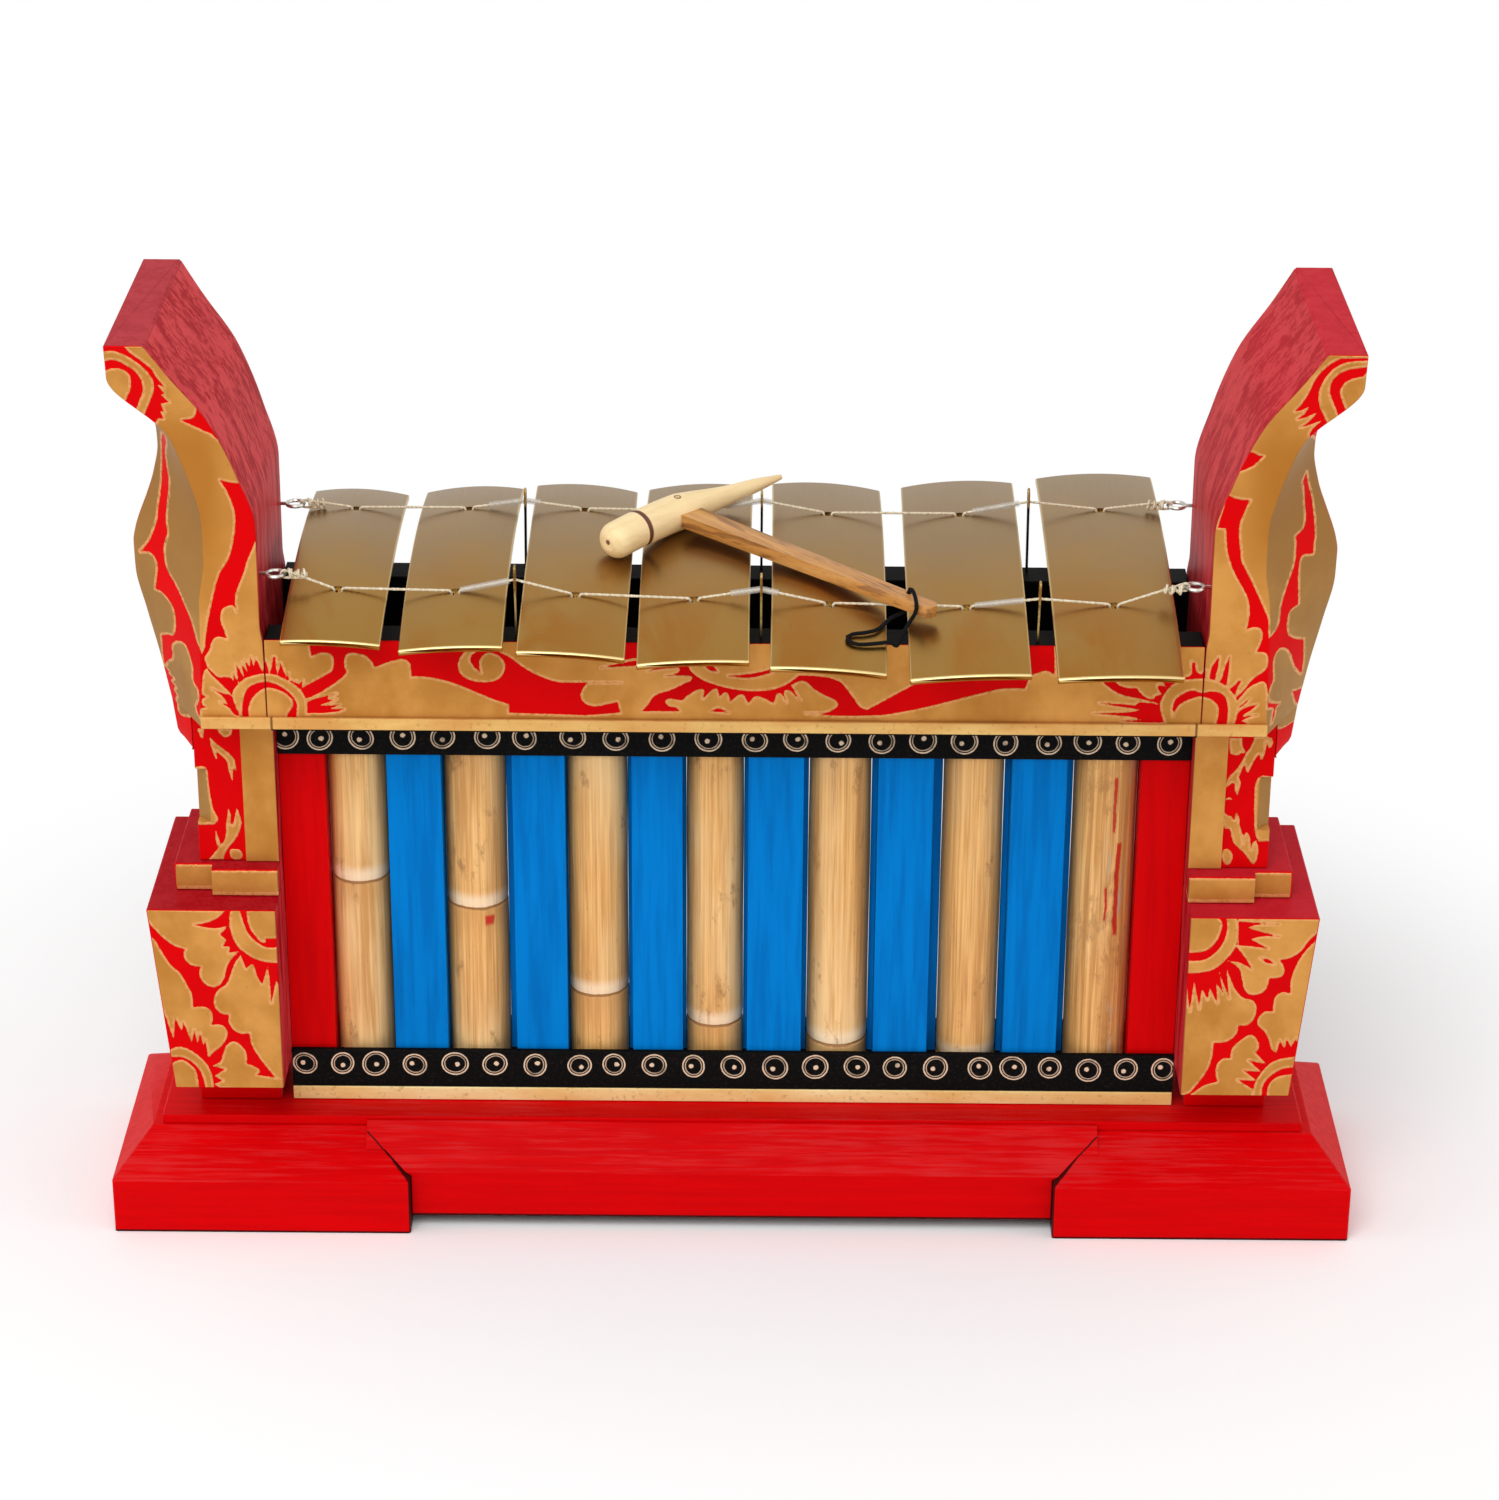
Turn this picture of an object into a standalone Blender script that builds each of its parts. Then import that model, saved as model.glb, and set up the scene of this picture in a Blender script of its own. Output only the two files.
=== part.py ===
"""A seven-key metallophone: arched bronze keys hung on two strings over bamboo resonators.

The keys hang between two horned end posts, and a hammer mallet lies across them.
Metres, +Z up. The origin is on the ground under the middle of the base, the front faces -Y.
"""

import math
from collections import namedtuple

import bmesh
import bpy
from mathutils import Matrix, Vector

# Clearances
FIT_GAP = 0.0003
STRING_GAP = 0.0003

# The case's length, which the base and everything along the case follow. Places along the case
# are given for a case of the layout's length, and stretch with the real one
CASE_LENGTH = 0.468
LAYOUT_LENGTH = 0.468

# Base: two hipped foot blocks, a board between them and the plate on top
PLATE_BEYOND_CASE = 0.0676
BASE_BEYOND_PLATE = 0.0234
FOOT_LENGTH = 0.156
FOOT_DEPTH = 0.1374
FOOT_WALL = 0.0307
FOOT_HIP_RISE = 0.0173
FOOT_HIP_SIDE = 0.0295
FOOT_HIP_OUTER = 0.0187
FOOT_HIP_INNER = 0.0240
BOARD_DEPTH = 0.1224
BOARD_GROUND_CLEARANCE = 0.007
BOARD_WALL = 0.026
BOARD_LIP_DEPTH = 0.0790
BOARD_LIP_RISE = 0.0037
PLATE_DEPTH = 0.076
PLATE_THICKNESS = 0.005

# End supports, each length measured outward from the case's end
PEDESTAL_HEIGHT = 0.0266
PEDESTAL_INSET = 0.006
PEDESTAL_LENGTH = 0.043
PEDESTAL_DEPTH = 0.042
BLOCK_HEIGHT = 0.1035
BLOCK_LENGTH_BOTTOM = 0.0567
BLOCK_LENGTH_TOP = 0.0663
BLOCK_DEPTH = 0.1112
STEP_HEIGHT = 0.0152
STEP_LENGTH = 0.034
STEP_DEPTH = 0.0794
STEP_END_LENGTH = 0.020
STEP_END_DEPTH = 0.066
COLUMN_HEIGHT = 0.0852
COLUMN_LENGTH = 0.0412
COLUMN_DEPTH = 0.0588
COLUMN_STRIP_LENGTH = 0.0173
COLUMN_STRIP_PROUD = 0.0015
COLUMN_CHAMFER = 0.007
COLUMN_CHAMFER_START = 0.0215
COLUMN_CHAMFER_HEIGHT = 0.0305

# Horn posts: outlines as (height above the seat, distance outward from the case's end)
HORN_DEPTH = 0.104
HORN_FLARE = 0.016
HORN_FLARE_START = 0.107
HORN_FLARE_POWER = 1.25
HORN_HEIGHT = 0.2063
HORN_INNER = (
    (0.0, 0.0),
    (0.045, 0.0003),
    (0.056, 0.0014),
    (0.107, 0.0012),
    (0.135, 0.0085),
    (0.165, 0.0206),
    (0.190, 0.0380),
    (HORN_HEIGHT, 0.0487),
)
HORN_RIDGE = (
    (0.0, 0.0330),
    (0.040, 0.0315),
    (0.067, 0.0307),
    (0.090, 0.0274),
    (0.104, 0.0273),
    (0.115, 0.0280),
    (0.129, 0.0311),
    (0.143, 0.0352),
    (0.155, 0.0394),
    (0.161, 0.0430),
    (0.189, 0.0676),
    (HORN_HEIGHT, 0.0676),
)
HORN_WING = (
    (0.0, 0.0530),
    (0.0258, 0.0578),
    (0.0488, 0.0629),
    (0.0717, 0.0674),
    (0.0854, 0.0676),
    (0.0930, 0.0662),
    (0.099, 0.0643),
    (0.1114, 0.0594),
    (0.1226, 0.0556),
    (0.138, 0.0527),
    (0.146, 0.0530),
    (0.189, 0.0676),
    (HORN_HEIGHT, 0.0676),
)
HORN_WING_HALF_WIDTH = 0.015
HORN_TIP_START = 0.146
HORN_TIP_FULL = 0.189
HORN_TAIL_LENGTH = 0.023
HORN_TAIL_ROUND = 0.0063
HORN_TAIL_TAPER = 0.0027
HORN_ROWS = 18

# Case: rails, moldings and the floor that holds the resonators
RAIL_HEIGHT = 0.0478
RAIL_THICKNESS = 0.020
MOLDING_HEIGHT = 0.0063
MOLDING_THICKNESS = 0.0021
FLOOR_THICKNESS = 0.0067
FLOOR_DEPTH = 0.080

# Grille between the supports
BAND_HEIGHT = 0.0219
BAND_THICKNESS = 0.0032
BASE_STRIP_HEIGHT = 0.0077
SLAT_DEPTH = 0.0336
SLAT_PLACES = (
    (-0.1786, -0.1508),
    (-0.1142, -0.0872),
    (-0.0528, -0.0265),
    (0.0074, 0.0359),
    (0.0742, 0.1026),
    (0.1429, 0.1711),
)
END_SLAT_PLACES = (-0.2105, 0.2092)
TONGUE_THICKNESS = 0.002
TONGUE_INSET = 0.002
TUBE_CENTRES = (-0.1950, -0.1343, -0.0710, -0.0098, 0.0550, 0.1240, 0.1922)
TUBE_RADII = (0.0150, 0.0158, 0.0154, 0.0147, 0.0160, 0.0157, 0.0164)
TUBE_NODE_HEIGHTS = (0.1263, 0.1117, 0.0607, 0.0427, 0.0324, 0.0240, 0.0170)
TUBE_WALL = 0.0024
TUBE_SETBACK = 0.0017
TUBE_GROOVE = 0.0006
DIAPHRAGM_THICKNESS = 0.003

# Keys, from the shortest on the left to the longest
KEY_COUNT = 7
KEY_WIDTH_FIRST = 0.049
KEY_WIDTH_STEP = 0.002
KEY_LENGTH_FIRST = 0.170
KEY_LENGTH_STEP = 0.008
KEY_GAPS = (0.008, 0.008, 0.0045, 0.0111, 0.0097, 0.0128)
KEY_ROW_OFFSET = -0.0013
KEY_DEPTH_OFFSET = -0.001
KEY_CROWNS = (0.0300, 0.0297, 0.0290, 0.0277, 0.0265, 0.0260, 0.0285)
KEY_ROLLS = (2.2, -3.1, 3.7, -2.6, 3.55, -3.3, -1.3)
KEY_PITCH_FIRST = 4.5
KEY_PITCH_LAST = 5.6
KEY_YAW = -0.3
KEY_LONG_ARCH = 0.009
KEY_CROSS_ARCH = 0.0019
KEY_END_BULGE = 0.0015
KEY_THICKNESS = 0.0028
HOLE_RADIUS = 0.0030
PEG_RADIUS = 0.0010
PEG_LENGTH = 0.012
PEG_BITE = 0.0002

# Strings and what holds them
STRING_RADIUS = 0.0007
FRONT_STRING_Y = -0.0478
FRONT_STRING_SLOPE = -0.0186
BACK_STRING_Y = 0.0510
BACK_STRING_SLOPE = 0.0088
POST_AFTER_KEYS = (2, 4, 6)
FRONT_POST_STRING_HEIGHTS = (0.0309, 0.0277, 0.0247)
BACK_POST_STRING_HEIGHTS = (0.0357, 0.0362, 0.0362)
FRONT_POST_RISES = (0.0083, 0.0092, 0.0102)
BACK_POST_RISES = (0.0069, 0.0058, 0.0074)
POST_WIRE_RADIUS = 0.00065
POST_LEAN = 0.0045
POST_SINK = 0.006
POST_LEG_SPREAD = 0.00085
POST_NECK = 0.006
EYE_WIRE_RADIUS = 0.0010
EYE_RING_RADIUS = 0.0045
EYE_REACH = 0.0065
EYE_SHANK_SINK = 0.008
EYE_EDGE = 0.0045
LEFT_EYE_HEIGHTS = (0.0322, 0.0335)
RIGHT_EYE_HEIGHTS = (0.0304, 0.0345)
STRING_TAIL = 0.011

# Mallet: heights are above the rails
HEAD_ROUTE = (
    (-0.0640, -0.0110, 0.0360),
    (-0.0494, 0.0072, 0.0373),
    (-0.0299, 0.0283, 0.0384),
    (-0.0010, 0.0510, 0.0405),
    (0.0229, 0.0698, 0.0422),
)
HEAD_RADIUS = 0.0095
HEAD_NECK_RADIUS = 0.0046
HEAD_TIP_RADIUS = 0.0030
HEAD_DOME = 0.005
HEAD_DOME_FALL = 0.5
HEAD_TAPER_STEPS = 8
HEAD_SAMPLES = 240
HEAD_GROOVE_AT = 0.0235
HEAD_GROOVE_DEPTH = 0.0006
HEAD_GROOVE_WIDTH = 0.0024
HEAD_TAPER_START = 0.053
HEAD_NECK_AT = 0.089
SOCKET_AT = 0.052
HANDLE_END = (0.0986, -0.0647, 0.0233)
HANDLE_WIDTH = 0.015
HANDLE_WIDTH_END = 0.009
HANDLE_THICKNESS = 0.0070
HANDLE_THICKNESS_END = 0.0060
HANDLE_ROUNDING = 0.0022
TENON_RADIUS = 0.0032
TENON_DEPTH = 0.0065

# Wrist cord
CORD_RADIUS = 0.0010
CORD_CLEARANCE = 0.0004
CORD_POINTS = 42
CORD_ROUTE = (
    (0.0860, -0.0525, 0.0252),
    (0.0860, -0.0525, 0.0272),
    (0.0860, -0.0525, 0.0290),
    (0.0866, -0.0542, 0.0309),
    (0.0876, -0.0576, 0.0315),
    (0.0887, -0.0616, 0.0302),
    (0.0894, -0.0651, 0.0271),
    (0.0891, -0.0656, 0.0236),
    (0.0880, -0.0643, 0.0205),
    (0.0859, -0.0637, 0.0166),
    (0.0840, -0.0642, 0.0130),
    (0.0820, -0.0670, 0.0094),
    (0.0804, -0.0710, 0.0080),
    (0.0788, -0.0752, 0.0096),
    (0.0766, -0.0774, 0.0123),
    (0.0724, -0.0792, 0.0126),
    (0.0665, -0.0814, 0.0129),
    (0.0605, -0.0826, 0.0132),
    (0.0560, -0.0808, 0.0141),
    (0.0554, -0.0774, 0.0149),
    (0.0586, -0.0746, 0.0153),
    (0.0640, -0.0728, 0.0152),
    (0.0700, -0.0690, 0.0152),
    (0.0738, -0.0630, 0.0157),
    (0.0775, -0.0574, 0.0169),
    (0.0818, -0.0537, 0.0173),
    (0.0845, -0.0527, 0.0183),
    (0.0858, -0.0525, 0.0202),
    (0.0860, -0.0525, 0.0220),
    (0.0860, -0.0525, 0.0240),
)

# Levels and planes that follow from the sizes above
STRETCH = CASE_LENGTH / LAYOUT_LENGTH
PLATE_LENGTH = CASE_LENGTH + 2 * PLATE_BEYOND_CASE
BASE_LENGTH = PLATE_LENGTH + 2 * BASE_BEYOND_PLATE
FOOT_TOP = FOOT_WALL + FOOT_HIP_RISE
PLATE_BOTTOM = FOOT_TOP + FIT_GAP
PLATE_TOP = PLATE_BOTTOM + PLATE_THICKNESS
GRILLE_BOTTOM = PLATE_TOP + FIT_GAP
BLOCK_BOTTOM = GRILLE_BOTTOM + PEDESTAL_HEIGHT
BLOCK_TOP = BLOCK_BOTTOM + BLOCK_HEIGHT
STEP_BOTTOM = BLOCK_TOP + FIT_GAP
STEP_TOP = STEP_BOTTOM + STEP_HEIGHT
COLUMN_BOTTOM = STEP_TOP + FIT_GAP
COLUMN_TOP = COLUMN_BOTTOM + COLUMN_HEIGHT
CASE_BOTTOM = COLUMN_TOP + FIT_GAP
RAIL_TOP = CASE_BOTTOM + RAIL_HEIGHT
FLOOR_BOTTOM = COLUMN_TOP - FLOOR_THICKNESS
GRILLE_TOP = FLOOR_BOTTOM - FIT_GAP
STRIP_TOP = GRILLE_BOTTOM + BASE_STRIP_HEIGHT
CASE_END = CASE_LENGTH / 2
CASE_FACE = HORN_DEPTH / 2

SIDES = {"left": -1, "right": 1}
FACES = {"front": -1, "back": 1}

Key = namedtuple("Key", "name x width length frame")


def clear_scene():
    for old in list(bpy.data.objects):
        bpy.data.objects.remove(old, do_unlink=True)


clear_scene()
PARTS = bpy.data.collections.new("metallophone")
CUTTERS = bpy.data.collections.new("metallophone_cutters")
for group in (PARTS, CUTTERS):
    bpy.context.scene.collection.children.link(group)
CUTTERS.hide_render = True


def material(name, colour, roughness, metallic=0.0):
    """A plain surface of one colour."""
    made = bpy.data.materials.new(name)
    made.use_nodes = True
    made.diffuse_color = (*colour, 1.0)
    shader = made.node_tree.nodes["Principled BSDF"]
    shader.inputs["Base Color"].default_value = (*colour, 1.0)
    shader.inputs["Roughness"].default_value = roughness
    shader.inputs["Metallic"].default_value = metallic
    return made


RED = material("red_paint", (0.62, 0.01, 0.02), 0.35)
GOLD = material("gold_paint", (0.62, 0.40, 0.10), 0.35)
BLUE = material("blue_paint", (0.0, 0.17, 0.58), 0.45)
BLACK = material("black_paint", (0.02, 0.02, 0.02), 0.5)
BAMBOO = material("bamboo", (0.68, 0.38, 0.14), 0.5)
BRONZE = material("bronze", (0.42, 0.29, 0.12), 0.32, 1.0)
STEEL = material("steel_wire", (0.55, 0.55, 0.55), 0.3, 1.0)
BRASS_WIRE = material("brass_wire", (0.60, 0.44, 0.18), 0.35, 1.0)
STRING = material("string", (0.62, 0.50, 0.34), 0.8)
PALE_WOOD = material("pale_wood", (0.75, 0.52, 0.28), 0.5)
BROWN_WOOD = material("brown_bamboo", (0.38, 0.16, 0.05), 0.45)
CORD = material("black_cord", (0.02, 0.02, 0.02), 0.9)


def add(name, mesh, surface, frame=None):
    """An object of the part, or a cutter where it has no surface."""
    made = bpy.data.objects.new(name, mesh)
    made.matrix_world = frame or Matrix()
    if surface is None:
        CUTTERS.objects.link(made)
        made.hide_render = True
        made.display_type = "WIRE"
        return made
    PARTS.objects.link(made)
    mesh.materials.append(surface)
    return made


def mesh_from(name, shape, sharp_degrees=None):
    """A mesh of a bmesh whose faces are turned outward."""
    bmesh.ops.recalc_face_normals(shape, faces=shape.faces)
    mesh = bpy.data.meshes.new(name)
    shape.to_mesh(mesh)
    shape.free()
    if sharp_degrees:
        mesh.shade_smooth()
        mesh.set_sharp_from_angle(angle=math.radians(sharp_degrees))
    return mesh


def box(name, low, high, surface):
    """A block between two opposite corners."""
    low, high = Vector(low), Vector(high)
    shape = bmesh.new()
    bmesh.ops.create_cube(shape, size=1.0)
    bmesh.ops.scale(shape, vec=high - low, verts=shape.verts)
    return add(name, mesh_from(name, shape), surface, Matrix.Translation((low + high) / 2))


def rod(name, radius, start, end, surface, sides=12):
    """A cylinder between two points."""
    start, end = Vector(start), Vector(end)
    axis = end - start
    shape = bmesh.new()
    bmesh.ops.create_cone(
        shape, cap_ends=True, segments=sides, radius1=radius, radius2=radius, depth=axis.length
    )
    turn = Vector((0, 0, 1)).rotation_difference(axis).to_matrix().to_4x4()
    frame = Matrix.Translation((start + end) / 2) @ turn
    return add(name, mesh_from(name, shape, 40), surface, frame)


def solid_of_curve(curve_object, surface, sharp_degrees=None):
    """The curve's own shape as a mesh object whose caps are welded to its sides."""
    bpy.context.view_layer.update()
    evaluated = curve_object.evaluated_get(bpy.context.evaluated_depsgraph_get())
    raw = bpy.data.meshes.new_from_object(evaluated)
    shape = bmesh.new()
    shape.from_mesh(raw)
    bmesh.ops.remove_doubles(shape, verts=shape.verts, dist=1e-6)
    name = curve_object.name
    frame = curve_object.matrix_world.copy()
    bpy.data.objects.remove(curve_object, do_unlink=True)
    bpy.data.meshes.remove(raw)
    return add(name, mesh_from(name, shape, sharp_degrees), surface, frame)


PLANES = {
    "XY": Matrix(),
    "XZ": Matrix.Rotation(math.pi / 2, 4, "X"),
    "YZ": Matrix(((0, 0, 1, 0), (1, 0, 0, 0), (0, 1, 0, 0), (0, 0, 0, 1))),
}


def slab(name, outlines, thickness, surface, plane="XY", centre=(0, 0, 0)):
    """Flat outlines in a plane, filled between them and thickened evenly to both sides."""
    curve = bpy.data.curves.new(name, "CURVE")
    curve.dimensions = "2D"
    curve.fill_mode = "BOTH"
    curve.extrude = thickness / 2
    for outline in outlines:
        spline = curve.splines.new("POLY")
        spline.points.add(len(outline) - 1)
        for point, (across, up) in zip(spline.points, outline):
            point.co = (across, up, 0, 1)
        spline.use_cyclic_u = True
    shape = bpy.data.objects.new(name, curve)
    shape.matrix_world = Matrix.Translation(centre) @ PLANES[plane]
    PARTS.objects.link(shape)
    return solid_of_curve(shape, surface)


def tube(name, points, radius, surface, radii=None, resolution=2):
    """A round bar along points, with flat closed ends and, where given, a radius at each point."""
    curve = bpy.data.curves.new(name, "CURVE")
    curve.dimensions = "3D"
    curve.bevel_depth = radius
    curve.bevel_resolution = resolution
    curve.use_fill_caps = True
    spline = curve.splines.new("POLY")
    spline.points.add(len(points) - 1)
    for index, (point, place) in enumerate(zip(spline.points, points)):
        point.co = (*place, 1)
        point.radius = radii[index] / radius if radii else 1.0
    curve.materials.append(surface)
    made = bpy.data.objects.new(name, curve)
    PARTS.objects.link(made)
    return made


def boolean(target, tool, operation="DIFFERENCE"):
    step = target.modifiers.new(tool.name, "BOOLEAN")
    step.solver = "EXACT"
    step.operation = operation
    step.object = tool


def circle(centre, radius, sides):
    turns = [2 * math.pi * step / sides for step in range(sides)]
    return [(centre[0] + radius * math.cos(a), centre[1] + radius * math.sin(a)) for a in turns]


def smooth_value(points, at):
    """A smooth curve through (position, value) points that never swings past them."""
    slopes = [(b[1] - a[1]) / (b[0] - a[0]) for a, b in zip(points, points[1:])]
    tangents = [slopes[0]]
    for before, after in zip(slopes, slopes[1:]):
        turning = before * after <= 0
        tangents.append(0.0 if turning else 2 * before * after / (before + after))
    tangents.append(slopes[-1])
    at = min(max(at, points[0][0]), points[-1][0])
    index = max(i for i in range(len(points) - 1) if points[i][0] <= at)
    (start, low), (end, high) = points[index], points[index + 1]
    span = end - start
    t = (at - start) / span
    return (
        low * (1 + 2 * t) * (1 - t) ** 2
        + high * t * t * (3 - 2 * t)
        + tangents[index] * span * t * (1 - t) ** 2
        - tangents[index + 1] * span * t * t * (1 - t)
    )


def smooth_route(points, count):
    """Evenly spaced points on one smooth curve through the given ones."""
    places = [Vector(point) for point in points]
    lengths = [0.0]
    for before, after in zip(places, places[1:]):
        lengths.append(lengths[-1] + (after - before).length)

    def tangent(index):
        low, high = max(index - 1, 0), min(index + 1, len(places) - 1)
        return (places[high] - places[low]) / (lengths[high] - lengths[low])

    def place_at(s):
        index = max(i for i in range(len(places) - 1) if lengths[i] <= s)
        span = lengths[index + 1] - lengths[index]
        t = (s - lengths[index]) / span
        return (
            places[index] * ((1 + 2 * t) * (1 - t) ** 2)
            + places[index + 1] * (t * t * (3 - 2 * t))
            + tangent(index) * (span * t * (1 - t) ** 2)
            - tangent(index + 1) * (span * t * t * (1 - t))
        )

    return [place_at(lengths[-1] * step / (count - 1)) for step in range(count)]


def hipped_block(name, side, surface, grow=0.0):
    """A foot: upright walls and a hipped top, its vertices moved in from the block's corners."""
    size = Vector((FOOT_LENGTH + 2 * grow, FOOT_DEPTH + 2 * grow, FOOT_WALL + grow))
    shape = bmesh.new()
    bmesh.ops.create_cube(shape, size=1.0)
    bmesh.ops.scale(shape, vec=size, verts=shape.verts)
    bmesh.ops.translate(shape, vec=(0, 0, size.z / 2), verts=shape.verts)
    top = [face for face in shape.faces if face.normal.z > 0.5]
    raised = bmesh.ops.extrude_face_region(shape, geom=top)["geom"]
    bmesh.ops.delete(shape, geom=top, context="FACES_ONLY")
    for vertex in (item for item in raised if isinstance(item, bmesh.types.BMVert)):
        inset = FOOT_HIP_OUTER if vertex.co.x * side > 0 else FOOT_HIP_INNER
        vertex.co.x -= math.copysign(inset, vertex.co.x)
        vertex.co.y -= math.copysign(FOOT_HIP_SIDE, vertex.co.y)
        vertex.co.z += FOOT_HIP_RISE
    middle = side * (BASE_LENGTH - FOOT_LENGTH) / 2
    return add(name, mesh_from(name, shape), surface, Matrix.Translation((middle, 0, 0)))


def make_base():
    for side_name, side in SIDES.items():
        hipped_block(f"foot_block_{side_name}", side, RED)
    wall_bottom = BOARD_GROUND_CLEARANCE
    wall_top = wall_bottom + BOARD_WALL
    half, lip = BOARD_DEPTH / 2, BOARD_LIP_DEPTH / 2
    lip_top = FOOT_TOP + BOARD_LIP_RISE
    section = [(-half, wall_bottom), (half, wall_bottom), (half, wall_top)]
    section += [(lip, lip_top), (-lip, lip_top), (-half, wall_top)]
    reach = BASE_LENGTH - 2 * FOOT_LENGTH + 2 * FOOT_HIP_INNER
    board = slab("base_board", [section], reach, RED, "YZ")
    for side_name, side in SIDES.items():
        boolean(board, hipped_block(f"board_end_{side_name}", side, None, FIT_GAP))
    plate_half = Vector((PLATE_LENGTH, PLATE_DEPTH, 0)) / 2
    low = Vector((-plate_half.x, -plate_half.y, PLATE_BOTTOM))
    high = Vector((plate_half.x, plate_half.y, PLATE_TOP))
    box("base_plate", low, high, RED)
    room = Vector((FIT_GAP, FIT_GAP, FIT_GAP))
    boolean(board, box("board_plate_seat", low - room, high + room, None))


def make_end_support(side_name, side):
    """The stepped support of one end, from the plate up to the post."""
    def out(distance):
        return side * (CASE_END + distance)

    block_half = BLOCK_DEPTH / 2
    outline = [(out(0), BLOCK_BOTTOM), (out(BLOCK_LENGTH_BOTTOM), BLOCK_BOTTOM)]
    outline += [(out(BLOCK_LENGTH_TOP), BLOCK_TOP), (out(0), BLOCK_TOP)]
    block = slab(f"lower_block_{side_name}", [outline], 2 * block_half, RED, "XZ")
    inner, outer = sorted((out(PEDESTAL_INSET), out(PEDESTAL_INSET + PEDESTAL_LENGTH)))
    half = PEDESTAL_DEPTH / 2
    overlap = PEDESTAL_HEIGHT / 4
    low, high = (inner, -half, GRILLE_BOTTOM), (outer, half, BLOCK_BOTTOM + overlap)
    boolean(block, box(f"pedestal_{side_name}", low, high, None), "UNION")

    half, end_half = STEP_DEPTH / 2, STEP_END_DEPTH / 2
    near, far, end = out(0), out(STEP_LENGTH), out(STEP_LENGTH + STEP_END_LENGTH)
    outline = [(near, -half), (far, -half), (far, -end_half), (end, -end_half)]
    outline += [(x, -y) for x, y in reversed(outline)]
    level = (STEP_BOTTOM + STEP_TOP) / 2
    slab(f"step_block_{side_name}", [outline], STEP_HEIGHT, RED, "XY", (0, 0, level))

    half = COLUMN_DEPTH / 2
    near, far = sorted((out(0), out(COLUMN_LENGTH)))
    low, high = (near, -half, COLUMN_BOTTOM), (far, half, COLUMN_TOP)
    column = box(f"column_{side_name}", low, high, RED)
    proud = half + COLUMN_STRIP_PROUD
    near, far = sorted((out(0), out(COLUMN_STRIP_LENGTH)))
    low, high = (near, -proud, COLUMN_BOTTOM), (far, proud, COLUMN_TOP)
    boolean(column, box(f"column_strip_{side_name}", low, high, None), "UNION")
    for face_name, face in FACES.items():
        corner = Vector((out(COLUMN_LENGTH), face * half, COLUMN_BOTTOM + COLUMN_CHAMFER_START))
        cut = box(
            f"column_chamfer_{side_name}_{face_name}",
            (-COLUMN_CHAMFER / math.sqrt(2), -COLUMN_CHAMFER, 0),
            (COLUMN_CHAMFER / math.sqrt(2), COLUMN_CHAMFER, COLUMN_CHAMFER_HEIGHT),
            None,
        )
        turn = Matrix.Rotation(-side * face * math.pi / 4, 4, "Z")
        cut.matrix_world = Matrix.Translation(corner) @ turn @ cut.matrix_world
        boolean(column, cut)


def horn_half_depth(height):
    """Half of the horn's depth, which flares towards the tip."""
    flare = max(0.0, height - HORN_FLARE_START) / (HORN_HEIGHT - HORN_FLARE_START)
    return CASE_FACE + HORN_FLARE * flare**HORN_FLARE_POWER


def horn_ring(height):
    """Six corners round the horn: inner face, ridge and wing edge, and the same mirrored."""
    deep = horn_half_depth(height)
    tip = (height - HORN_TIP_START) / (HORN_TIP_FULL - HORN_TIP_START)
    wing_half = HORN_WING_HALF_WIDTH + (deep / 2 - HORN_WING_HALF_WIDTH) * min(max(tip, 0.0), 1.0)
    inner = smooth_value(HORN_INNER, height)
    ridge = smooth_value(HORN_RIDGE, height)
    wing = smooth_value(HORN_WING, height)
    half = [(inner, -deep), (ridge, -deep), (wing, -wing_half)]
    return half + [(x, -y) for x, y in reversed(half)], height


def tail_ring(height):
    """The wing's tail, which hangs beside the column."""
    drop = -height / HORN_TAIL_LENGTH
    wing = HORN_WING[0][1] - HORN_TAIL_TAPER * drop
    rounding = HORN_TAIL_LENGTH + height
    if rounding < HORN_TAIL_ROUND:
        wing -= HORN_TAIL_ROUND - math.sqrt(HORN_TAIL_ROUND**2 - (HORN_TAIL_ROUND - rounding) ** 2)
    near = COLUMN_LENGTH + FIT_GAP
    deep = COLUMN_DEPTH / 2
    middle = ((near + wing) / 2, -(deep + HORN_WING_HALF_WIDTH) / 2)
    half = [(near, -deep), middle, (wing, -HORN_WING_HALF_WIDTH)]
    return half + [(x, -y) for x, y in reversed(half)], height


def make_horn(side_name, side):
    """One horned end post, a loft through its rings from the tail to the tip."""
    tail_levels = (1.0, 0.98, 0.92, 0.83, 0.7, 0.0)
    rings = [tail_ring(-HORN_TAIL_LENGTH * share) for share in tail_levels]
    kinks = [height for height, _ in HORN_RIDGE[1:] if height > HORN_TIP_START]
    rows = [HORN_HEIGHT * row / HORN_ROWS for row in range(HORN_ROWS + 1)]
    levels = sorted(set(rows + kinks + [HORN_TIP_START]))
    spaced = [b for a, b in zip([-1.0] + levels, levels) if b - a > HORN_HEIGHT / 100]
    rings += [horn_ring(height) for height in spaced]
    shape = bmesh.new()
    rows = [
        [shape.verts.new((side * (CASE_END + x), y, CASE_BOTTOM + height)) for x, y in ring]
        for ring, height in rings
    ]
    for low, high in zip(rows, rows[1:]):
        for index in range(len(low)):
            after = (index + 1) % len(low)
            shape.faces.new((low[index], low[after], high[after], high[index]))
    shape.faces.new(rows[0])
    shape.faces.new(rows[-1])
    bmesh.ops.remove_doubles(shape, verts=shape.verts, dist=1e-6)
    return add(f"horn_post_{side_name}", mesh_from("horn_post", shape), RED)


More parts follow.
